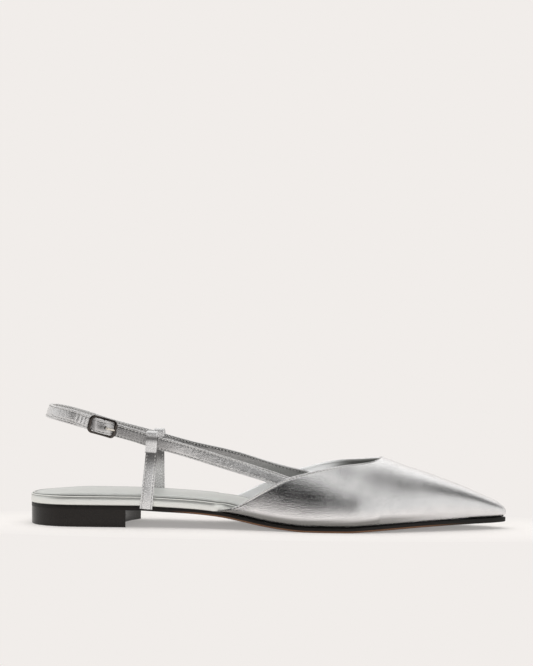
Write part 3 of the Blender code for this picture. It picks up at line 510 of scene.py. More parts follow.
heelLevels = heelSet["levels"] + [(0.0001, shoe["seat"] + heelSet["tuckedUp"])]
heelPoints = [point for inset, z in heelLevels for point in heelRing(inset, z, heelSet)]
heelFaces = ringFaces(len(heelLevels), 2 * heelSet["sides"] + heelSet["breast"])
makePiece("heelBlock", heelPoints, heelFaces, heelFinish, "heel", sharp=35)
print("sole and heel made")

# Insole wrapped in silver, and the padded sock with its beaded edge
randInset, sockInset = -0.0002, 0.0012
insideVamp = vamp["tuck"] - vamp["overhang"] + vamp["wall"] + shoe["gap"]


def insoleInset(x, side):
    start = vamp["wingEnd"][side] * length
    return float(randInset + (insideVamp - randInset) * ease(start - 0.0040, start - 0.0002, x))


def sockEdge(x, side):
    return insoleInset(x, side) + sockInset


def insoleBottom(x):
    return soleTop(x) + shoe["gap"]


def insoleTop(x):
    thin = ease(0.42 * length, 0.60 * length, x)
    return insoleBottom(x) + shoe["insole"] + (shoe["insoleFore"] - shoe["insole"]) * thin


def sockBottom(x):
    return insoleTop(x) + shoe["gap"] * 0.5


def sockTop(x):
    return insoleTop(x) + shoe["gap"] + shoe["sock"] * (0.3 + 0.7 * ease(0.004, 0.030, x))


# The insole's and the sock's shade columns paint shade on their lower edges, in the grooves by their beads and
# on the insole's top under the sock
insoleSet = {
    "cross": 4, "crown": 0.0, "fullCrown": 0.03,
    "profile": [(0.0030, 0.0, -0.0002, 0.9), (0.0004, 0.0, -0.0002, 0.6), (0.0001, 0.05, 0.0, 0.0),
                (-0.0001, 0.30, 0.0, 0.0), (-0.0001, 0.60, 0.0, 0.0), (0.0, 0.83, 0.0, 0.25),
                (0.00025, 0.87, 0.0, 1.0), (-0.00005, 0.91, 0.0, 0.2), (-0.0001, 0.96, 0.0, 0.0),
                (0.0002, 1.02, 0.0, 0.0), (0.0005, 1.03, 0.0, 0.0), (0.0009, 0.99, 0.0, 1.0),
                (0.0030, 0.99, 0.0, 1.0)],
}
sockSet = {
    "cross": 12, "crown": 0.0006, "fullCrown": 0.03,
    "profile": [(0.0004, 0.0, 0.0, 1.0), (-0.0002, 0.15, 0.0, 0.7), (-0.00025, 0.50, 0.0, 0.0),
                (0.0, 0.85, 0.0, 0.0), (0.0004, 1.0, 0.0, 0.0), (0.0008, 0.92, 0.0, 0.3),
                (0.0011, 0.60, 0.0, 1.0), (0.0015, 0.80, 0.0, 0.3), (0.0022, 0.97, 0.0, 0.0),
                (0.0040, 1.05, 0.0, 0.0)],
}
plate("insoleWrap", stations(0.003, 0.955, 26, 120, 12), insoleInset, insoleBottom, insoleTop, insoleSet,
      randFinish, "insole")
sockPad = plate("sockPad", stations(0.003, 0.93, 26, 110, 10), sockEdge, sockBottom, sockTop, sockSet,
                sockFinish, "sock")
print("insole and sock made")


# Vamp: ribs from the sole's edge to the ridge or the topline
def spine(x):
    start = length - 3.5 * vamp["noseSetback"]
    far = np.maximum((x - start) / (length - start), 0.0)
    return x - vamp["noseSetback"] * far ** 2


def wingShare(x, side):
    start, throat = vamp["wingEnd"][side] * length, vamp["throat"] * length
    return np.clip((x - start) / (throat - start), 0.0, 1.0)


def feather(x):
    return soleTop(x) + shoe["gap"]


def ribPoints(t, side, p):  # p from 0 at the sole, 1 at the widest line, to 2 at the top
    x = float(along(t))
    outer = outline(t, side, -vamp["overhang"])
    ridgeX = float(spine(x))
    middle = np.array([ridgeX, float(middleLine(ridgeX)) + vamp["ridgeLean"]])
    cut = float(toplineShare[side](wingShare(x, side)))
    ridge, shape = float(ridgeRise(x)), float(fullness(x))
    bulge = min(float(bulgeRise(x)), 0.5 * cut * ridge)
    depth = np.clip(1 - p, 0.0, 1.0)
    reach = np.linalg.norm(middle - outer)
    low = outer + (middle - outer) / reach * vamp["tuck"] * (depth ** 2.2)[:, None]
    lowZ = feather(low[:, 0]) + bulge * (1 - depth)
    lastTurn = math.asin(min(max((cut * ridge - bulge) / (ridge - bulge), 0.0), 1.0) ** (shape / 2))
    turn = lastTurn * np.clip(p - 1, 0.0, 1.0)
    aside = np.maximum(np.cos(turn), 0.0) ** (2 / shape)
    if cut >= 1:
        aside = np.where(p >= 2, 0.0, aside)
    plan = middle + (outer - middle) * aside[:, None]
    rise = bulge + (ridgeRise(plan[:, 0]) - bulge) * np.sin(turn) ** (2 / shape)
    high = np.column_stack([plan, feather(plan[:, 0]) + rise])
    return np.where((p < 1)[:, None], np.column_stack([low, lowZ]), high)


def resample(points, shares):
    run = runAlong(points)
    place = np.clip(shares, 0, 1) * run[-1]
    return np.column_stack([np.interp(place, run, points[:, i]) for i in range(3)]), run[-1]


topSteps = np.array([0.0, 0.00015, 0.0003, 0.00045, 0.0006, 0.0008, 0.0010, 0.0012, 0.00135, 0.0015, 0.00165,
                     0.0018, 0.0021, 0.0026, 0.0034])
ribRows = 44


def ribRow(t, side):
    dense = ribPoints(t, side, np.concatenate([np.linspace(0, 1, 24), np.linspace(1, 2, 120)[1:]]))
    full = resample(dense, np.array([0.0, 1.0]))[1]
    tops = topSteps * min(1.0, full / vamp["shortRib"]) / full
    rest = np.linspace(0, 1, ribRows - len(topSteps) + 1)[:-1] ** 0.8 * (1 - tops[-1])
    return resample(dense, np.concatenate([rest, 1 - tops[::-1]]))[0], full


def vampGrid(side):
    start = float(shareAt(vamp["wingEnd"][side] * length))
    throat = float(shareAt(vamp["throat"] * length))
    wing = start + (throat - start) * np.sin(np.linspace(0, 1, vamp["wings"], endpoint=False) * math.pi / 2)
    front = np.linspace(throat, noseShare, vamp["front"], endpoint=False)
    nose = np.linspace(noseShare, 1.0, vamp["nose"])
    places = np.concatenate([wing, front, nose])
    rows = [ribRow(t, side) for t in places]
    return np.array([r[0] for r in rows]), np.array([r[1] for r in rows])


def makeVamp():
    wingCount, total, last = vamp["wings"], vamp["wings"] + vamp["front"] + vamp["nose"], ribRows - 1
    points, shades, within, index = [], [], [], {}
    layers, seams = {}, {}
    for side in (lateral, medial):
        grid, fullRuns = vampGrid(side)
        normal = unit(np.cross(np.gradient(grid, axis=0), np.gradient(grid, axis=1)) * -side)
        normal[wingCount:, last, 1] = 0.0
        normal[-1, :, 1] = 0.0
        normal = unit(normal)
        flat = normal[:, 0].copy()
        flat[:, 2] = 0.0
        normal[:, 0] = unit(flat)
        run = np.concatenate([np.zeros((total, 1)),
                              np.cumsum(np.linalg.norm(np.diff(grid, axis=1), axis=2), axis=1)], axis=1)
        fromTop = run[:, -1:] - run
        wall = np.minimum(vamp["wall"], 0.30 * run[:, -1:]) * np.ones((1, ribRows))
        isOpen = (np.arange(total) < wingCount)[:, None]  # behind the throat
        share = (np.arange(total) / wingCount)[:, None]
        inside = ease(0.0010, 0.0038, fromTop) * (1 - ease(0.011, 0.019, fromTop))
        x = grid[:, :, 0] / length
        strapEnd = ease(0.545, 0.575, x) * (1 - ease(0.625, 0.665, x))
        wall = wall + vamp["liningSwell"] * inside * strapEnd * isOpen
        radius = np.minimum(wall, vamp["wall"]) / 2  # the topline's edge is rounded
        lip = np.where(isOpen & (fromTop < radius),
                       radius * (1 - np.sqrt(np.maximum(1 - (1 - fromTop / radius) ** 2, 0.0))), 0.0)
        fade = 1 - ease(0.97, 1.06, share)
        wide = np.minimum(run[:, -1:] / vamp["shortRib"], 1.0)
        groove = vamp["groove"] * np.exp(-((fromTop - vamp["stitchIn"] * wide) / 0.00026) ** 2)
        fold = vamp["fold"] * np.exp(-((fromTop - 0.0007) / 0.0006) ** 2)
        relief = (fold - groove) * fade * (share < 1.02) * (fullRuns[:, None] > 0.004)
        outer = grid + normal * (relief - lip)[..., None]
        inner = grid - normal * (wall - lip)[..., None]
        inner[:, 0, 2] = grid[:, 0, 2]
        # painted shade: the topline stitching's groove, and a band just above the sole where the upper tucks
        # under
        nearSole = 0.9 * (1 - ease(*vamp["soleShade"], run)) * (1 - 0.9 * ease(0.72, 0.90, x))
        dark = np.maximum(np.where(groove * fade * isOpen > 0.00006, 0.6, 0.0), nearSole)
        layers[side], seams[side] = (outer, inner, dark), (outer, normal, fromTop)
    columns = {}
    for side in (lateral, medial):
        outer, inner, dark = layers[side]
        column = []
        for i in range(total):
            row = []
            for p in range(ribRows):
                shared = (i >= wingCount and p == last) or i == total - 1
                key = (i, p)
                if shared and key in index:
                    row.append(index[key])
                    continue
                points.append((outer[i, p], inner[i, p]))
                shades.append(float(dark[i, p]))
                # painted shade inside the shoe: the lining darkens towards the throat
                within.append(0.9 * float(ease(0.40, 0.62, i / wingCount)))
                if shared:
                    index[key] = len(points) - 1
                row.append(len(points) - 1)
            column.append(row)
        columns[side] = column
    count = len(points)
    allPoints = [pair[0] for pair in points] + [pair[1] for pair in points]
    faces, kinds = [], []
    for side, flip in ((lateral, True), (medial, False)):
        column = columns[side]
        for i in range(total - 1):
            for p in range(last):
                a, b, c, d = column[i][p], column[i + 1][p], column[i + 1][p + 1], column[i][p + 1]
                face = list(dict.fromkeys([a, b, c, d] if flip else [a, d, c, b]))
                if len(face) < 3:
                    continue
                faces += [face, [count + v for v in face[::-1]]]
                kinds += [0, 1]
    one, two = columns[lateral], columns[medial]
    # the wall's rim: along the sole on both sides, then round the topline
    loop = [row[0] for row in one] + [row[0] for row in two[-2::-1]]
    loop += two[0][1:] + [row[last] for row in two[1:wingCount + 1]]
    loop += [row[last] for row in one[wingCount - 1::-1]] + one[0][last - 1:0:-1]
    for a, b in zip(loop, loop[1:] + loop[:1]):
        faces.append([b, a, count + a, count + b])
        kinds.append(0)
    piece = makePiece("vampBody", allPoints, faces, [vampFinish, liningFinish], "upper",
                      shades + within, 60, normals=False)
    if len(piece.data.polygons) == len(kinds):
        piece.data.polygons.foreach_set("material_index", kinds)
    return seams


vampSeams = makeVamp()
print("vamp made")


# Stitches: short rounded threads that dip into the leather at both ends
stitchSet = {"thread": 0.00042, "long": 0.00125, "lift": 0.00010, "dip": 0.00022, "rings": 6, "sides": 6}


def stitchMesh(name, marks, given):
    rings, sides, points, faces = given["rings"], given["sides"], [], []
    for centre, direction, normal in marks:
        direction = unit(direction)
        normal = unit(normal - direction * np.dot(normal, direction))
        aside = np.cross(direction, normal)
        start = len(points)
        for i in range(rings):
            share = i / (rings - 1) * 2 - 1
            size = given["thread"] / 2 * math.sqrt(max(1 - abs(share) ** 3, 0.05))
            lift = given["lift"] - given["dip"] * share ** 2
            for j in range(sides):
                turn = 2 * math.pi * j / sides
                points.append(centre + direction * share * given["long"] / 2
                              + normal * (lift + size * math.sin(turn)) + aside * size * math.cos(turn))
        faces += ringFaces(rings, sides, start=start)
    makePiece(name, points, faces, threadFinish, sharp=60)


def walk(path, pitch, skip):  # evenly spaced places along a path: index as a share
    run = runAlong(path)
    count = max(int((run[-1] - 2 * skip) / pitch), 1)
    spots = skip + (np.arange(count) + 0.5) * (run[-1] - 2 * skip) / count
    return np.interp(spots, run, np.arange(len(path)))


def at(rows, place):
    i = int(min(max(place, 0), len(rows) - 1.001))
    return rows[i] + (rows[i + 1] - rows[i]) * (place - i)


toplineMarks = []
for side in (lateral, medial):
    outer, normal, fromTop = vampSeams[side]
    path, face = [], []
    for i in range(2, vamp["wings"]):
        target = vamp["stitchIn"] * min(fromTop[i, 0] / vamp["shortRib"], 1.0)
        spot = np.interp(target, fromTop[i][::-1], np.arange(ribRows - 1, -1, -1.0))
        path.append(at(outer[i], spot))
        face.append(at(normal[i], spot))
    path, face = np.array(path), np.array(face)
    for spot in walk(path, vamp["stitchPitch"], 0.001):
        toplineMarks.append((at(path, spot), at(path, spot + 0.5) - at(path, spot - 0.5), at(face, spot)))
stitchMesh("toplineStitching", toplineMarks, stitchSet)

# Straps
straps = {
    "slingHeight": 0.0638, "slingWidth": 0.0078, "slingThick": 0.0016, "buckleWidth": 0.0070,
    "buckleThick": 0.0013, "loopHalf": 0.0240, "loopRound": 0.032, "loopBack": 0.0091, "sideWidth": 0.0071,
    "sideLoopWidth": 0.0064, "sideThick": 0.0012, "foldThick": 0.0008, "flap": 0.0104, "seatGap": 0.0006,
    "backDrop": {lateral: 0.108, medial: 0.158}, "backLean": 0.34, "tailLift": 0.0010,
    "stitchPitch": 0.00195, "stitchAside": 0.72, "slant": 17, "footDrop": 0.0014, "steps": 190,
    "puckers": (0.0098, 0.0119, 0.0138, 0.0160), "puckerDeep": 0.00024, "puckerWide": 0.00055,
}
buckle = {
    "along": 0.0444, "length": 0.0162, "height": 0.0102, "bar": 0.0010, "endBar": 0.0016, "bow": 0.0014,
    "rail": 0.0013, "prong": 0.0012, "corner": 0.0022, "holeAhead": 0.0021, "holeRadius": 0.0008,
}
# along the shoe, height and distance from the middle, each as a share
buckleStrapFree = [(0.430, 0.562, 1.12), (0.375, 0.630, 1.09), (0.320, 0.695, 1.07), (0.270, 0.749, 1.055),
                   (0.236, 0.792, 1.045)]
slingFree = [(0.440, 0.552, 0.950), (0.390, 0.602, 0.955), (0.335, 0.648, 0.985), (0.270, 0.718, 1.010),
             (0.215, 0.780, 1.010)]
buckleStrapSeat = [(0.600, 0.357), (0.560, 0.414), (0.518, 0.470)]
slingSeat = [(0.610, 0.378), (0.570, 0.424), (0.525, 0.473)]
sideStrapAlong = {lateral: 0.260, medial: 0.256}
sideStrapLean = {lateral: 0.0031, medial: 0.0002}
gap = shoe["gap"]


def seat(row, side, thickness):
    x, z = row[0] * length, row[1] * straps["slingHeight"]

    def wallAt(place, level):
        edgeAt = outline(shareAt(place), side, -vamp["overhang"])[1]
        reach = abs(float(edgeAt - middleLine(place)) - vamp["ridgeLean"])
        bulge = float(bulgeRise(place))
        rise = (level - float(feather(place)) - bulge) / (float(ridgeRise(place)) - bulge)
        shape = float(fullness(place))
        aside = (1 - min(max(rise, 0.0), 1.0) ** shape) ** (1 / shape)
        return float(middleLine(place)) + vamp["ridgeLean"] + side * reach * aside

    near = 0.001
    lean = (wallAt(x, z + near) - wallAt(x, z - near)) / (2 * near)
    turn = (wallAt(x + near, z) - wallAt(x - near, z)) / (2 * near)
    normal = unit(np.array([-turn, 1.0, -lean])) * side
    point = np.array([x, wallAt(x, z), z]) - normal * (vamp["wall"] + straps["seatGap"] + thickness / 2)
    return point, unit(np.array([0.0, lean, 1.0]))


def freePoint(row, side):
    return np.array([row[0] * length, side * row[2] * straps["loopHalf"], row[1] * straps["slingHeight"]])


def loopPoint(turn, side, out):
    share = max(math.cos(turn), 0.0)
    x = straps["loopBack"] + straps["loopRound"] * (1 - math.sin(turn))
    drop = straps["backDrop"][side] * (1 - math.sin(turn)) ** 1.1
    outward = unit(np.array([-math.sin(turn) * straps["loopHalf"], side * share * straps["loopRound"], 0.0]))
    middle = np.array([x, side * straps["loopHalf"] * share ** 0.92, straps["slingHeight"] * (1 - drop)])
    return middle + outward * out


def backHint(turn, side):
    lean = straps["backLean"]
    return unit(np.array([lean * math.sin(turn) ** 2, -side * lean * 0.35 * math.cos(turn), 1.0]))


stack = (straps["slingThick"] + straps["buckleThick"]) / 2 + gap


def buckleAxes():
    front, back = freePoint(buckleStrapFree[-1], lateral), loopPoint(math.radians(25), lateral, stack)
    forward = unit(front - back)
    across = unit(up - forward * forward[2])
    share = (buckle["along"] - back[0]) / (front[0] - back[0])
    return back + share * (front - back), forward, across, np.cross(forward, across)


buckleMiddle, buckleForward, buckleAcross, buckleOut = buckleAxes()


def atBuckle(ahead, aside, out):
    return buckleMiddle + buckleForward * ahead + buckleAcross * aside + buckleOut * out


middleBarOut, endBarOut = -buckle["bow"] / 2, buckle["bow"] / 2
underBar = endBarOut - buckle["bar"] / 2 - gap - straps["buckleThick"] / 2
foldRadius = buckle["bar"] / 2 + gap + straps["foldThick"] / 2
overBar = middleBarOut + foldRadius + (straps["foldThick"] + straps["buckleThick"]) / 2 + gap
endBarAhead = (buckle["length"] - buckle["endBar"]) / 2

# Half of a band's section, edge to middle: place across and height, both as shares
bandProfile = [(1.000, 0.00), (0.992, 0.45), (0.970, 0.76), (0.930, 0.94), (0.880, 1.02), (0.820, 0.98),
               (0.770, 0.84), (0.720, 0.72), (0.670, 0.84), (0.610, 0.98), (0.500, 1.05), (0.340, 1.08),
               (0.170, 1.10)]


def bandSection(profile):
    top = profile[1:] + [(0.0, profile[-1][1])] + [(-a, b) for a, b in profile[:0:-1]]
    return [profile[0]] + top + [(-1.0, 0.0)] + [(a, -b) for a, b in top[::-1]]


# The sign given before shadeAt picks the inner face, which gets painted shade; shadeAt adds painted shade,
# plainFrom ends the stitched edge
def band(name, route, hints, widths, thicks, finish, node, wrinkle, shadedFace=0, shadeAt=None, plainFrom=None):
    section = bandSection(bandProfile)
    run = runAlong(route)
    direction = unit(np.gradient(route, axis=0))
    across = unit(hints - direction * np.sum(hints * direction, axis=1, keepdims=True))
    out = np.cross(direction, across)
    points, shades = [], []
    for i, middle in enumerate(route):
        w, h = widths[i] / 2, thicks[i] / 2
        for a, b in section:
            ripple = wrinkle(run[i], a)
            plain = ease(plainFrom - 0.001, plainFrom, run[i]) if plainFrom else 0.0
            row = math.exp(-((abs(a) - straps["stitchAside"]) / 0.12) ** 2) * (1 - plain)
            groove = 0.00005 * math.cos(2 * math.pi * run[i] / straps["stitchPitch"]) * row
            level = b + (np.sign(b) * 1.06 * math.sqrt(1 - abs(a) ** 8) - b) * plain
            height = level * h + (ripple + groove) * np.sign(b) * (0.5 if b * shadedFace > 0 else 1.0)
            points.append(middle + across[i] * a * w + out[i] * height)
            # painted shade: darker along the stitch rows, and on the inner face, more so further forward
            mark = 0.62 * math.exp(-((abs(a) - straps["stitchAside"]) / 0.05) ** 2) * (1 - plain)
            if b * shadedFace > 0:
                mark += (0.06 + 0.38 * ease(0.22, 0.32, route[i][0] / length)) * (1 - ease(0.90, 0.97, abs(a)))
            if shadeAt:
                mark = max(mark, shadeAt(route[i], a))
            shades.append(min(mark, 1.0))
    makePiece(name, points, ringFaces(len(route), len(section)), finish, node, shades, 70)
    return run, direction, across, out


def bandStitches(name, route, frameOf, widths, thicks, spans):
    run, direction, across, out = frameOf
    marks = []
    for first, last in spans:
        count = max(int((last - first) / straps["stitchPitch"]), 1)
        for spot in first + (np.arange(count) + 0.5) * (last - first) / count:
            steps = np.arange(len(route))
            place = float(np.interp(spot, run, steps))
            middle, ahead, aside, outward = (at(v, place) for v in (route, direction, across, out))
            w, h = np.interp(place, steps, widths) / 2, np.interp(place, steps, thicks) / 2
            for row in (-1, 1):
                for face in (1, -1):
                    centre = middle + aside * row * straps["stitchAside"] * w + outward * face * h * 0.80
                    marks.append((centre, ahead, outward * face))
    stitchMesh(name, marks, stitchSet)


def softWrinkles(seed, spans, depth, spacing):
    chooser = np.random.default_rng(seed)
    folds = []
    for first, last in spans:
        spot = first
        while spot < last:
            folds.append((spot, chooser.uniform(-0.0006, 0.0006), chooser.uniform(0.35, 1.0) * depth,
                          chooser.uniform(0.0003, 0.0007)))
            spot += spacing * chooser.uniform(0.55, 1.5)

    def height(place, a):
        total = 0.0
        for spot, slant, deep, wide in folds:
            away = place - spot - slant * a
            if abs(away) < 3 * wide:
                total -= deep * math.exp(-(away / wide) ** 2) * (0.35 + 0.65 * math.cos(a * 1.3))
        return total

    return height


def frontReach(seatRows, freeRows, side, thickness):  # inside the vamp, then free of it
    pairs = [seat(row, side, thickness) for row in seatRows]
    lastLean = pairs[-1][1]
    for i, row in enumerate(freeRows):
        pairs.append((freePoint(row, side), unit(lastLean * max(0.6 - 0.3 * i, 0.0) + up)))
    return [point for point, lean in pairs], [lean for point, lean in pairs]


def makeBuckleStrap():
    points, hints = frontReach(buckleStrapSeat, buckleStrapFree, lateral, straps["buckleThick"])
    rise = overBar - underBar
    for ahead, out in ((endBarAhead + 0.0008, underBar), (endBarAhead - 0.0012, underBar),
                       (endBarAhead * 0.42, underBar + 0.80 * rise), (0.0003, overBar),
                       (-endBarAhead * 0.40, underBar + 0.80 * rise),
                       (-endBarAhead + 0.0012, underBar), (-endBarAhead - 0.0008, underBar)):
        points.append(atBuckle(ahead, 0.0, out))
        hints.append(up)
    for degrees in (24, 34, 44, 53):
        turn = math.radians(degrees)
        points.append(loopPoint(turn, lateral, stack) + up * straps["tailLift"])
        hints.append(backHint(turn, lateral))
    route, leans = spline(points, 470, hints)
    ends = np.linalg.norm(route - route[-1], axis=1)
    share = np.clip(ends / (straps["buckleWidth"] * 0.5), 0, 1)
    inFrame = np.exp(-((route - buckleMiddle) @ buckleForward / 0.010) ** 4) * (route[:, 1] < 0)
    widths = (straps["buckleWidth"] + 0.0004 * inFrame) * np.maximum(np.sqrt(1 - (1 - share) ** 2), 0.12)
    thicks = straps["buckleThick"] * np.maximum(np.sqrt(1 - (1 - np.clip(ends / 0.0006, 0, 1)) ** 2), 0.25)
    run = runAlong(route)
    whole = float(run[-1])
    barRun = float(run[np.argmin(np.linalg.norm(route - atBuckle(0, 0, overBar), axis=1))])
    loopRun = float(run[np.argmin(np.abs(route[:, 0] - sideStrapAlong[lateral] * length))])
    folds = softWrinkles(11, [(loopRun + 0.002, barRun - 0.010)], 0.00013, 0.0019)
    gentle = softWrinkles(12, [(0.012, loopRun - 0.003), (barRun + 0.018, whole - 0.006)], 0.00005, 0.0042)
    puckers = [barRun + start for start in straps["puckers"]]
    hole = atBuckle(buckle["holeAhead"], 0.0, overBar)

    def relief(place, a):
        away = [(place - spot - 0.0003 * a) / straps["puckerWide"] for spot in puckers]
        pucker = sum(straps["puckerDeep"] * math.exp(-one ** 2) for one in away)
        return folds(place, a) + gentle(place, a) - pucker * (1 - abs(a) ** 3)

    def dark(point, a):  # painted shade: the hole painted dark, a painted shadow behind it, and shade on the reach before the buckle
        side = np.linalg.norm([np.dot(point - hole, buckleForward), a * straps["buckleWidth"] / 2])
        reach = math.exp(-((np.dot(point - hole, buckleForward) + 0.0022) / 0.0030) ** 2 - (a / 0.55) ** 2)
        ahead = point[0] - buckle["along"]
        turned = ease(0.0075, 0.0095, ahead) * (1 - ease(0.033, 0.046, ahead)) * (0.5 if abs(a) < 0.93 else 0.0)
        inHole = 1 - ease(buckle["holeRadius"] * 0.8, buckle["holeRadius"] * 1.2, side)
        return max(float(inHole), 0.70 * reach, float(turned))

    frameOf = band("buckleStrapBody", route, leans, widths, thicks, strapFinish, "buckle_strap",
                   relief, 1, dark)
    spans = [(0.006, barRun - 0.0085), (barRun - 0.0055, barRun + 0.0065), (barRun + 0.0085, whole - 0.0045)]
    bandStitches("buckleStrapStitching", route, frameOf, widths, thicks, spans)


def makeSling():
    points, hints = frontReach(slingSeat, slingFree, medial, straps["slingThick"])
    for side, turns in ((medial, (8, 24, 40, 56, 72)), (lateral, (90, 72, 56, 42, 30))):
        for degrees in turns:
            turn = math.radians(degrees)
            points.append(loopPoint(turn, side, 0.0))
            hints.append(backHint(turn, side))
    under = middleBarOut - foldRadius
    points.append(atBuckle(-endBarAhead, 0.0, underBar - stack))
    points.append(atBuckle(-endBarAhead * 0.5, 0.0, under - 0.0007))
    hints += [up, up]
    main, leans = spline(points, 640, hints)
    fold = [atBuckle(-0.0012, 0.0, under)]
    for turn in range(-90, 106, 14):
        a = math.radians(turn)
        fold.append(atBuckle(foldRadius * math.cos(a), 0.0, middleBarOut + foldRadius * math.sin(a)))
    route = np.vstack([main, np.array(fold)])
    leans = np.vstack([leans, np.tile(buckleAcross, (len(fold), 1))])
    ahead = (route - buckleMiddle) @ buckleForward
    near = (np.abs(route[:, 0] - buckle["along"]) < 0.012) & (route[:, 1] < 0)
    share = np.where(near, ease(-0.0100, -0.0035, ahead), 0.0)
    share[len(main):] = 1.0
    thicks = straps["slingThick"] + (straps["foldThick"] - straps["slingThick"]) * share
    widths = straps["slingWidth"] + (straps["buckleWidth"] - straps["slingWidth"]) * share
    relief = softWrinkles(21, [(0.012, 0.240)], 0.00007, 0.0036)
    frameOf = band("slingBody", route, leans, widths, thicks, strapFinish, "sling_strap", relief, -1)
    whole = float(runAlong(main)[-1])
    bandStitches("slingStitching", route, frameOf, widths, thicks, [(0.006, whole - 0.004)])


makeBuckleStrap()
makeSling()
print("long straps made")


# Side straps: up from the sole, inside the band, folded over it and down its outer side
def bandAtLoop(rows, side):
    place = sideStrapAlong[side] + sideStrapLean[side] / length
    rows = rows[::-1]
    height = float(smooth([r[0] for r in rows], [r[1] for r in rows])(place))
    aside = float(smooth([r[0] for r in rows], [r[2] for r in rows])(place))
    return freePoint((place, height, aside), side)


def makeSideStrap(name, node, side, bandMiddle, bandThick, bandWidth):
    footX, lean, half = sideStrapAlong[side] * length, sideStrapLean[side], straps["sideThick"] / 2
    spots = (footX - straps["sideWidth"] / 2, footX, footX + straps["sideWidth"] / 2)
    widest = max(float(side * outline(shareAt(x), side, randInset)[1]) for x in spots)
    footEdge = side * (widest + gap + half)
    footZ = float(soleTop(footX)) - straps["footDrop"]
    inside = bandMiddle[1] - side * (bandThick / 2 + gap + half)
    outside = bandMiddle[1] + side * (bandThick / 2 + gap + half)
    slant = math.radians(straps["slant"])
    slope = bandWidth / 2 / math.cos(slant) + straps["sideLoopWidth"] / 2 * math.tan(slant)
    turnZ = bandMiddle[2] + slope - 2 * gap
    lowest = turnZ - straps["flap"]

    def spot(z, y):
        return np.array([footX + lean * (z - footZ) / (turnZ - footZ), y, z])

    start = float(soleTop(footX)) + shoe["insole"] + 0.002
    points = [spot(footZ, footEdge), spot((footZ + start) / 2, footEdge)]
    for share in (0.0, 0.25, 0.5, 0.75, 1.0):
        z = start + share * (lowest - 0.0060 - start)
        points.append(spot(z, footEdge + (inside - footEdge) * (0.10 + 0.75 * share)))
    points += [spot(lowest, inside), spot(turnZ - 0.003, inside), spot(turnZ, inside)]
    radius, centre = abs(outside - inside) / 2, (inside + outside) / 2
    for turn in range(15, 166, 15):
        a = math.radians(turn)
        point = spot(turnZ, centre + (inside - centre) * math.cos(a))
        point[2] = turnZ + radius * 0.75 * math.sin(a)
        points.append(point)
    points += [spot(turnZ, outside), spot(turnZ - straps["flap"] / 2, outside), spot(lowest, outside)]
    points = np.array(points)
    run = runAlong(points)
    steps = straps["steps"]
    place = np.linspace(0, run[-1], steps)
    route = np.column_stack([np.interp(place, run, points[:, i]) for i in range(3)])
    for _ in range(6):
        route[1:-1] = (route[:-2] + 2 * route[1:-1] + route[2:]) / 4
    share = np.clip((route[:, 2] - footZ) / (lowest - footZ), 0, 1)
    widths = straps["sideWidth"] + (straps["sideLoopWidth"] - straps["sideWidth"]) * share
    thicks = np.full(len(route), straps["sideThick"])
    hints = np.tile(unit(np.array([1.0, 0.0, -lean / (turnZ - footZ)])), (len(route), 1))
    rising = route[:110, 2]  # the reach before the fold
    stitched = float(np.interp(np.argmin(np.abs(rising - (lowest + 0.002))), np.arange(steps), place))
    relief = softWrinkles(31 + side, [(0.003, 0.012), (stitched - 0.008, stitched)], 0.00003, 0.0016)
    turned = float(place[int(np.argmax(route[:, 2] > turnZ - 0.002))])

    def dark(point, _):  # painted shade under the fold, at the flap's end and under the flap
        if side * point[1] < side * centre - 0.0001:
            return 0.85 * float(ease(lowest - 0.012, lowest - 0.002, point[2]) * (point[2] < turnZ - 0.003))
        under = 0.85 * math.exp(-((point[2] - turnZ + 0.0024) / 0.0017) ** 2)
        return max(under, math.exp(-((point[2] - lowest) / 0.0004) ** 2))

    frameOf = band(name, route, hints, widths, thicks, flapFinish, node, relief, 0, dark, turned)
    bandStitches(name + "Stitching", route, frameOf, widths, thicks, [(0.002, stitched)])


makeSideStrap("sideStrapOuter", "side_strap_lateral", lateral, bandAtLoop(buckleStrapFree, lateral),
              straps["buckleThick"], straps["buckleWidth"])
makeSideStrap("sideStrapInner", "side_strap_medial", medial, bandAtLoop(slingFree, medial),
              straps["slingThick"], straps["slingWidth"])
print("side straps made")


# Buckle: a bowed rectangle with thicker ends, its middle bar, and the prong
def tube(name, path, sizes, finish, node, closed=False):
    path, sides = np.array(path), 16
    if closed:
        direction = unit(np.roll(path, -1, axis=0) - np.roll(path, 1, axis=0))
    else:
        direction = unit(np.gradient(path, axis=0))
    aside = unit(np.cross(direction, buckleOut))
    out = np.cross(aside, direction)
    points = []
    for i, (wide, thick) in enumerate(sizes):
        for j in range(sides):
            turn = 2 * math.pi * j / sides
            points.append(path[i] + aside[i] * wide * math.cos(turn) + out[i] * thick * math.sin(turn))
    makePiece(name, points, ringFaces(len(path), sides, closed), finish, node, sharp=60)


def bow(ahead):
    return middleBarOut + buckle["bow"] * min(abs(ahead) / endBarAhead, 1.0) ** 2


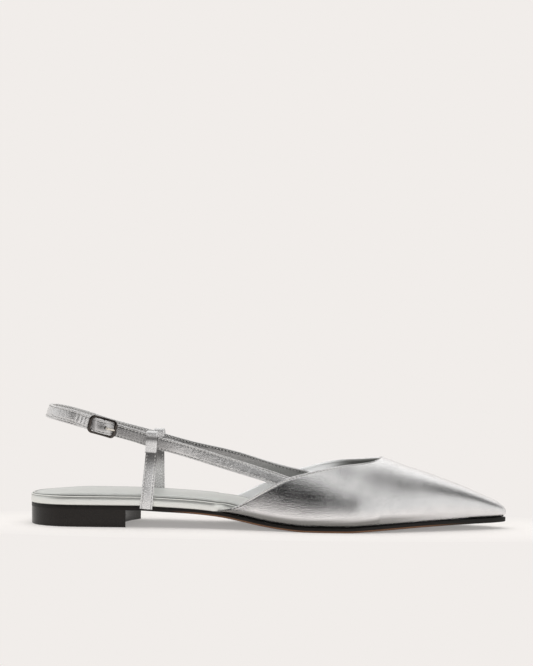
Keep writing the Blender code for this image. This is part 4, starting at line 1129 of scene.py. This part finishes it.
def makeBuckle():
    halfLong, halfHigh, corner = endBarAhead, (buckle["height"] - buckle["rail"]) / 2, buckle["corner"]
    path, sizes = [], []

    def add(ahead, aside, turn):
        thicker = (buckle["endBar"] * 1.12 - buckle["rail"]) * abs(math.cos(turn))
        path.append(atBuckle(ahead, aside, bow(ahead)))
        sizes.append(((buckle["rail"] + thicker) / 2, buckle["bar"] / 2))

    for quarter, (sx, sy) in enumerate(((1, 1), (-1, 1), (-1, -1), (1, -1))):
        for i in range(12):
            turn = math.radians(90 * quarter + 90 * i / 12)
            add(sx * (halfLong - corner) + corner * math.cos(turn),
                sy * (halfHigh - corner) + corner * math.sin(turn), turn)
        for share in np.linspace(0, 1, 14)[:-1]:
            turn = math.radians(90 * (quarter + 1))
            if quarter in (0, 2):
                add(sx * (halfLong - corner) * (1 - 2 * share), sy * halfHigh, turn)
            else:
                add(sx * halfLong, sy * (halfHigh - corner) * (1 - 2 * share), turn)
    tube("buckleFrameBody", path, sizes, buckleFinish, "buckle_frame", True)
    bar = [atBuckle(0.0, aside, middleBarOut) for aside in np.linspace(-halfHigh, halfHigh, 12)]
    tube("buckleMiddleBar", bar, [(buckle["bar"] / 2 * 0.96,) * 2] * 12, buckleFinish, None)
    half = buckle["prong"] / 2
    rest = endBarOut + buckle["bar"] * 0.54 + gap * 0.5 + half
    over = overBar + straps["buckleThick"] / 2 + gap + half
    root = buckle["bar"] / 2 + gap + half
    points = [(root, middleBarOut), (root + 0.0002, middleBarOut + 0.0012), (root + 0.0009, overBar - 0.0003),
              (root + 0.0019, over - 0.0003), (root + 0.0034, over - 0.0006),
              (endBarAhead - 0.0006, rest + 0.0002), (endBarAhead + 0.0004, rest)]
    route = spline([atBuckle(a, 0.0, o) for a, o in points], 50)
    taper = np.linspace(0, 1, 50)
    close = np.sqrt(np.clip((1 - taper) * 12, 0.06, 1.0))
    sizes = [(half * 1.35 * (1 - 0.25 * s) * c, half * (1 - 0.20 * s) * c) for s, c in zip(taper, close)]
    tube("buckleProngBody", route, sizes, prongFinish, "buckle_prong")


makeBuckle()
print("buckle made")

# Floor, light and surroundings
stageSet = {
    "floor": rgb(241, 237, 234), "reach": 3.0, "middle": (0.11, 0.0, 0.0), "near": (0.20, 0.066),
    "fade": (0.72, 1.25), "glow": 0.32, "front": -1.5, "bendFrom": 1.0, "bend": 0.8,
}


def makeFloor(given):
    finish, wire, place = startFinish("paleFloor")
    tree = finish.node_tree
    shader = tree.nodes["Principled BSDF"]
    darker = tuple(v * 0.99 for v in given["floor"][:3]) + (1.0,)
    shade = place.noise(6.0, 2.0).over(0.2, 0.8).colours(given["floor"], darker)
    tree.links.new(shade.socket, shader.inputs["Base Color"])
    shader.inputs["Roughness"].default_value = 0.8
    shader.inputs["Specular IOR Level"].default_value = 0.1
    longWay, wideWay = given["near"]
    away = wire.node("ShaderNodeVectorMath", {"operation": "SUBTRACT"}, {0: place, 1: given["middle"]})
    away = wire.node("ShaderNodeVectorMath", {"operation": "MULTIPLY"},
                     {0: away, 1: (1 / longWay, 1 / wideWay, 1 / wideWay)})
    reach = wire.node("ShaderNodeVectorMath", {"operation": "LENGTH"}, {0: away}, 1)
    glow = wire.node("ShaderNodeEmission", {}, {"Color": given["floor"], "Strength": 1.0})
    # The floor glows with its own colour, fully away from the shoe and by the glow share near it, which
    # lightens the shoe's cast shadow as painted light
    share = reach.over(*given["fade"]) * (1 - given["glow"]) + given["glow"]
    mixed = wire.node("ShaderNodeMixShader", {}, {0: share, 2: glow})
    tree.links.new(shader.outputs[0], mixed.socket.node.inputs[1])
    tree.links.new(mixed.socket, tree.nodes["Material Output"].inputs["Surface"])
    reach, start, bend = given["reach"], given["bendFrom"], given["bend"]
    rows = [(given["front"] + (start - given["front"]) * i / 10, 0.0) for i in range(10)]
    for i in range(20):  # the floor runs back and curves up behind
        turn = math.radians(i * 4.5)
        rows.append((start + bend * math.sin(turn), bend * (1 - math.cos(turn))))
    rows += [(start + bend, bend + 0.012 * i) for i in range(11)]
    points = []
    for y, z in rows:
        points += [(-reach + 0.1, y, z), (reach + 0.1, y, z)]
    faces = [[2 * i, 2 * i + 1, 2 * i + 3, 2 * i + 2] for i in range(len(rows) - 1)]
    mesh = bpy.data.meshes.new("floorSheet")
    mesh.from_pydata(points, [], faces)
    mesh.materials.append(finish)
    mesh.shade_smooth()
    floor = bpy.data.objects.new("floorSheet", mesh)
    bpy.context.collection.objects.link(floor)


makeFloor(stageSet)
lights = {  # where each stands, where it points, its size and its power
    "topPanel": {"place": (0.10, 0.15, 1.10), "aim": (0.10, 0.15, 0.0), "size": (2.0, 0.9), "power": 5.3},
    "floorPanel": {"place": (0.10, 0.10, 1.15), "aim": (0.10, 0.10, 0.0), "size": (2.4, 1.6), "power": 4.2},
    "frontPanel": {"place": (0.05, -1.0, 0.20), "aim": (0.10, 0.0, 0.03), "size": (1.4, 0.35), "power": 6.6},
    "leftPanel": {"place": (-0.95, -0.25, 0.45), "aim": (0.05, 0.0, 0.03), "size": (0.5, 0.7), "power": 0.9},
}
for name, given in lights.items():
    lamp = bpy.data.lights.new(name, "AREA")
    lamp.shape = "RECTANGLE"
    lamp.size, lamp.size_y = given["size"]
    lamp.energy = given["power"]
    holder = bpy.data.objects.new(name, lamp)
    holder.visible_glossy = False  # the silver mirrors the room alone
    back = unit(np.array(given["place"]) - np.array(given["aim"]))
    right = unit(np.cross(up + np.array([0.0, 0.001, 0.0]), back))
    stand(holder, right, np.cross(back, right), back, given["place"])

# Room: pale all round and brighter behind, with soft dark places for the silver to mirror.
# Each dark place: where it lies, how far it reaches at full depth and at all, in degrees, and how dark it is
room = {"open": 0.80, "behind": 1.35, "places": [
    {"toward": (-0.53, -0.74, 0.42), "full": 18, "reach": 32, "depth": 1.0},
    {"toward": (-0.18, -0.84, 0.50), "full": 18, "reach": 34, "depth": 1.0},
    {"toward": (0.62, 0.26, 0.75), "full": 10, "reach": 36, "depth": 0.90},
]}
world = bpy.data.worlds.new("room")
world.use_nodes = True
air = Wire(world.node_tree)
direction = air.node("ShaderNodeTexCoord")
ahead = air.node("ShaderNodeSeparateXYZ", {}, {0: direction})
inward = Wire(world.node_tree, ahead.socket.node.outputs[1])
height = Wire(world.node_tree, ahead.socket.node.outputs[2])
light = room["open"] + inward.over(0.35, 0.80) * (room["behind"] - room["open"])
for given in room["places"]:
    toward = [float(v) for v in unit(np.array(given["toward"]))]
    facing = ahead * toward[0] + inward * toward[1] + height * toward[2]
    inside = facing.over(math.cos(math.radians(given["reach"])), math.cos(math.radians(given["full"])))
    light = light * (1 - inside * given["depth"])
sky = world.node_tree.nodes["Background"]
world.node_tree.links.new(light.socket, sky.inputs["Strength"])
sky.inputs["Color"].default_value = (1.0, 0.998, 0.985, 1.0)
bpy.context.scene.world = world
bpy.context.scene.view_settings.view_transform = "Standard"
print("stage and lights made")
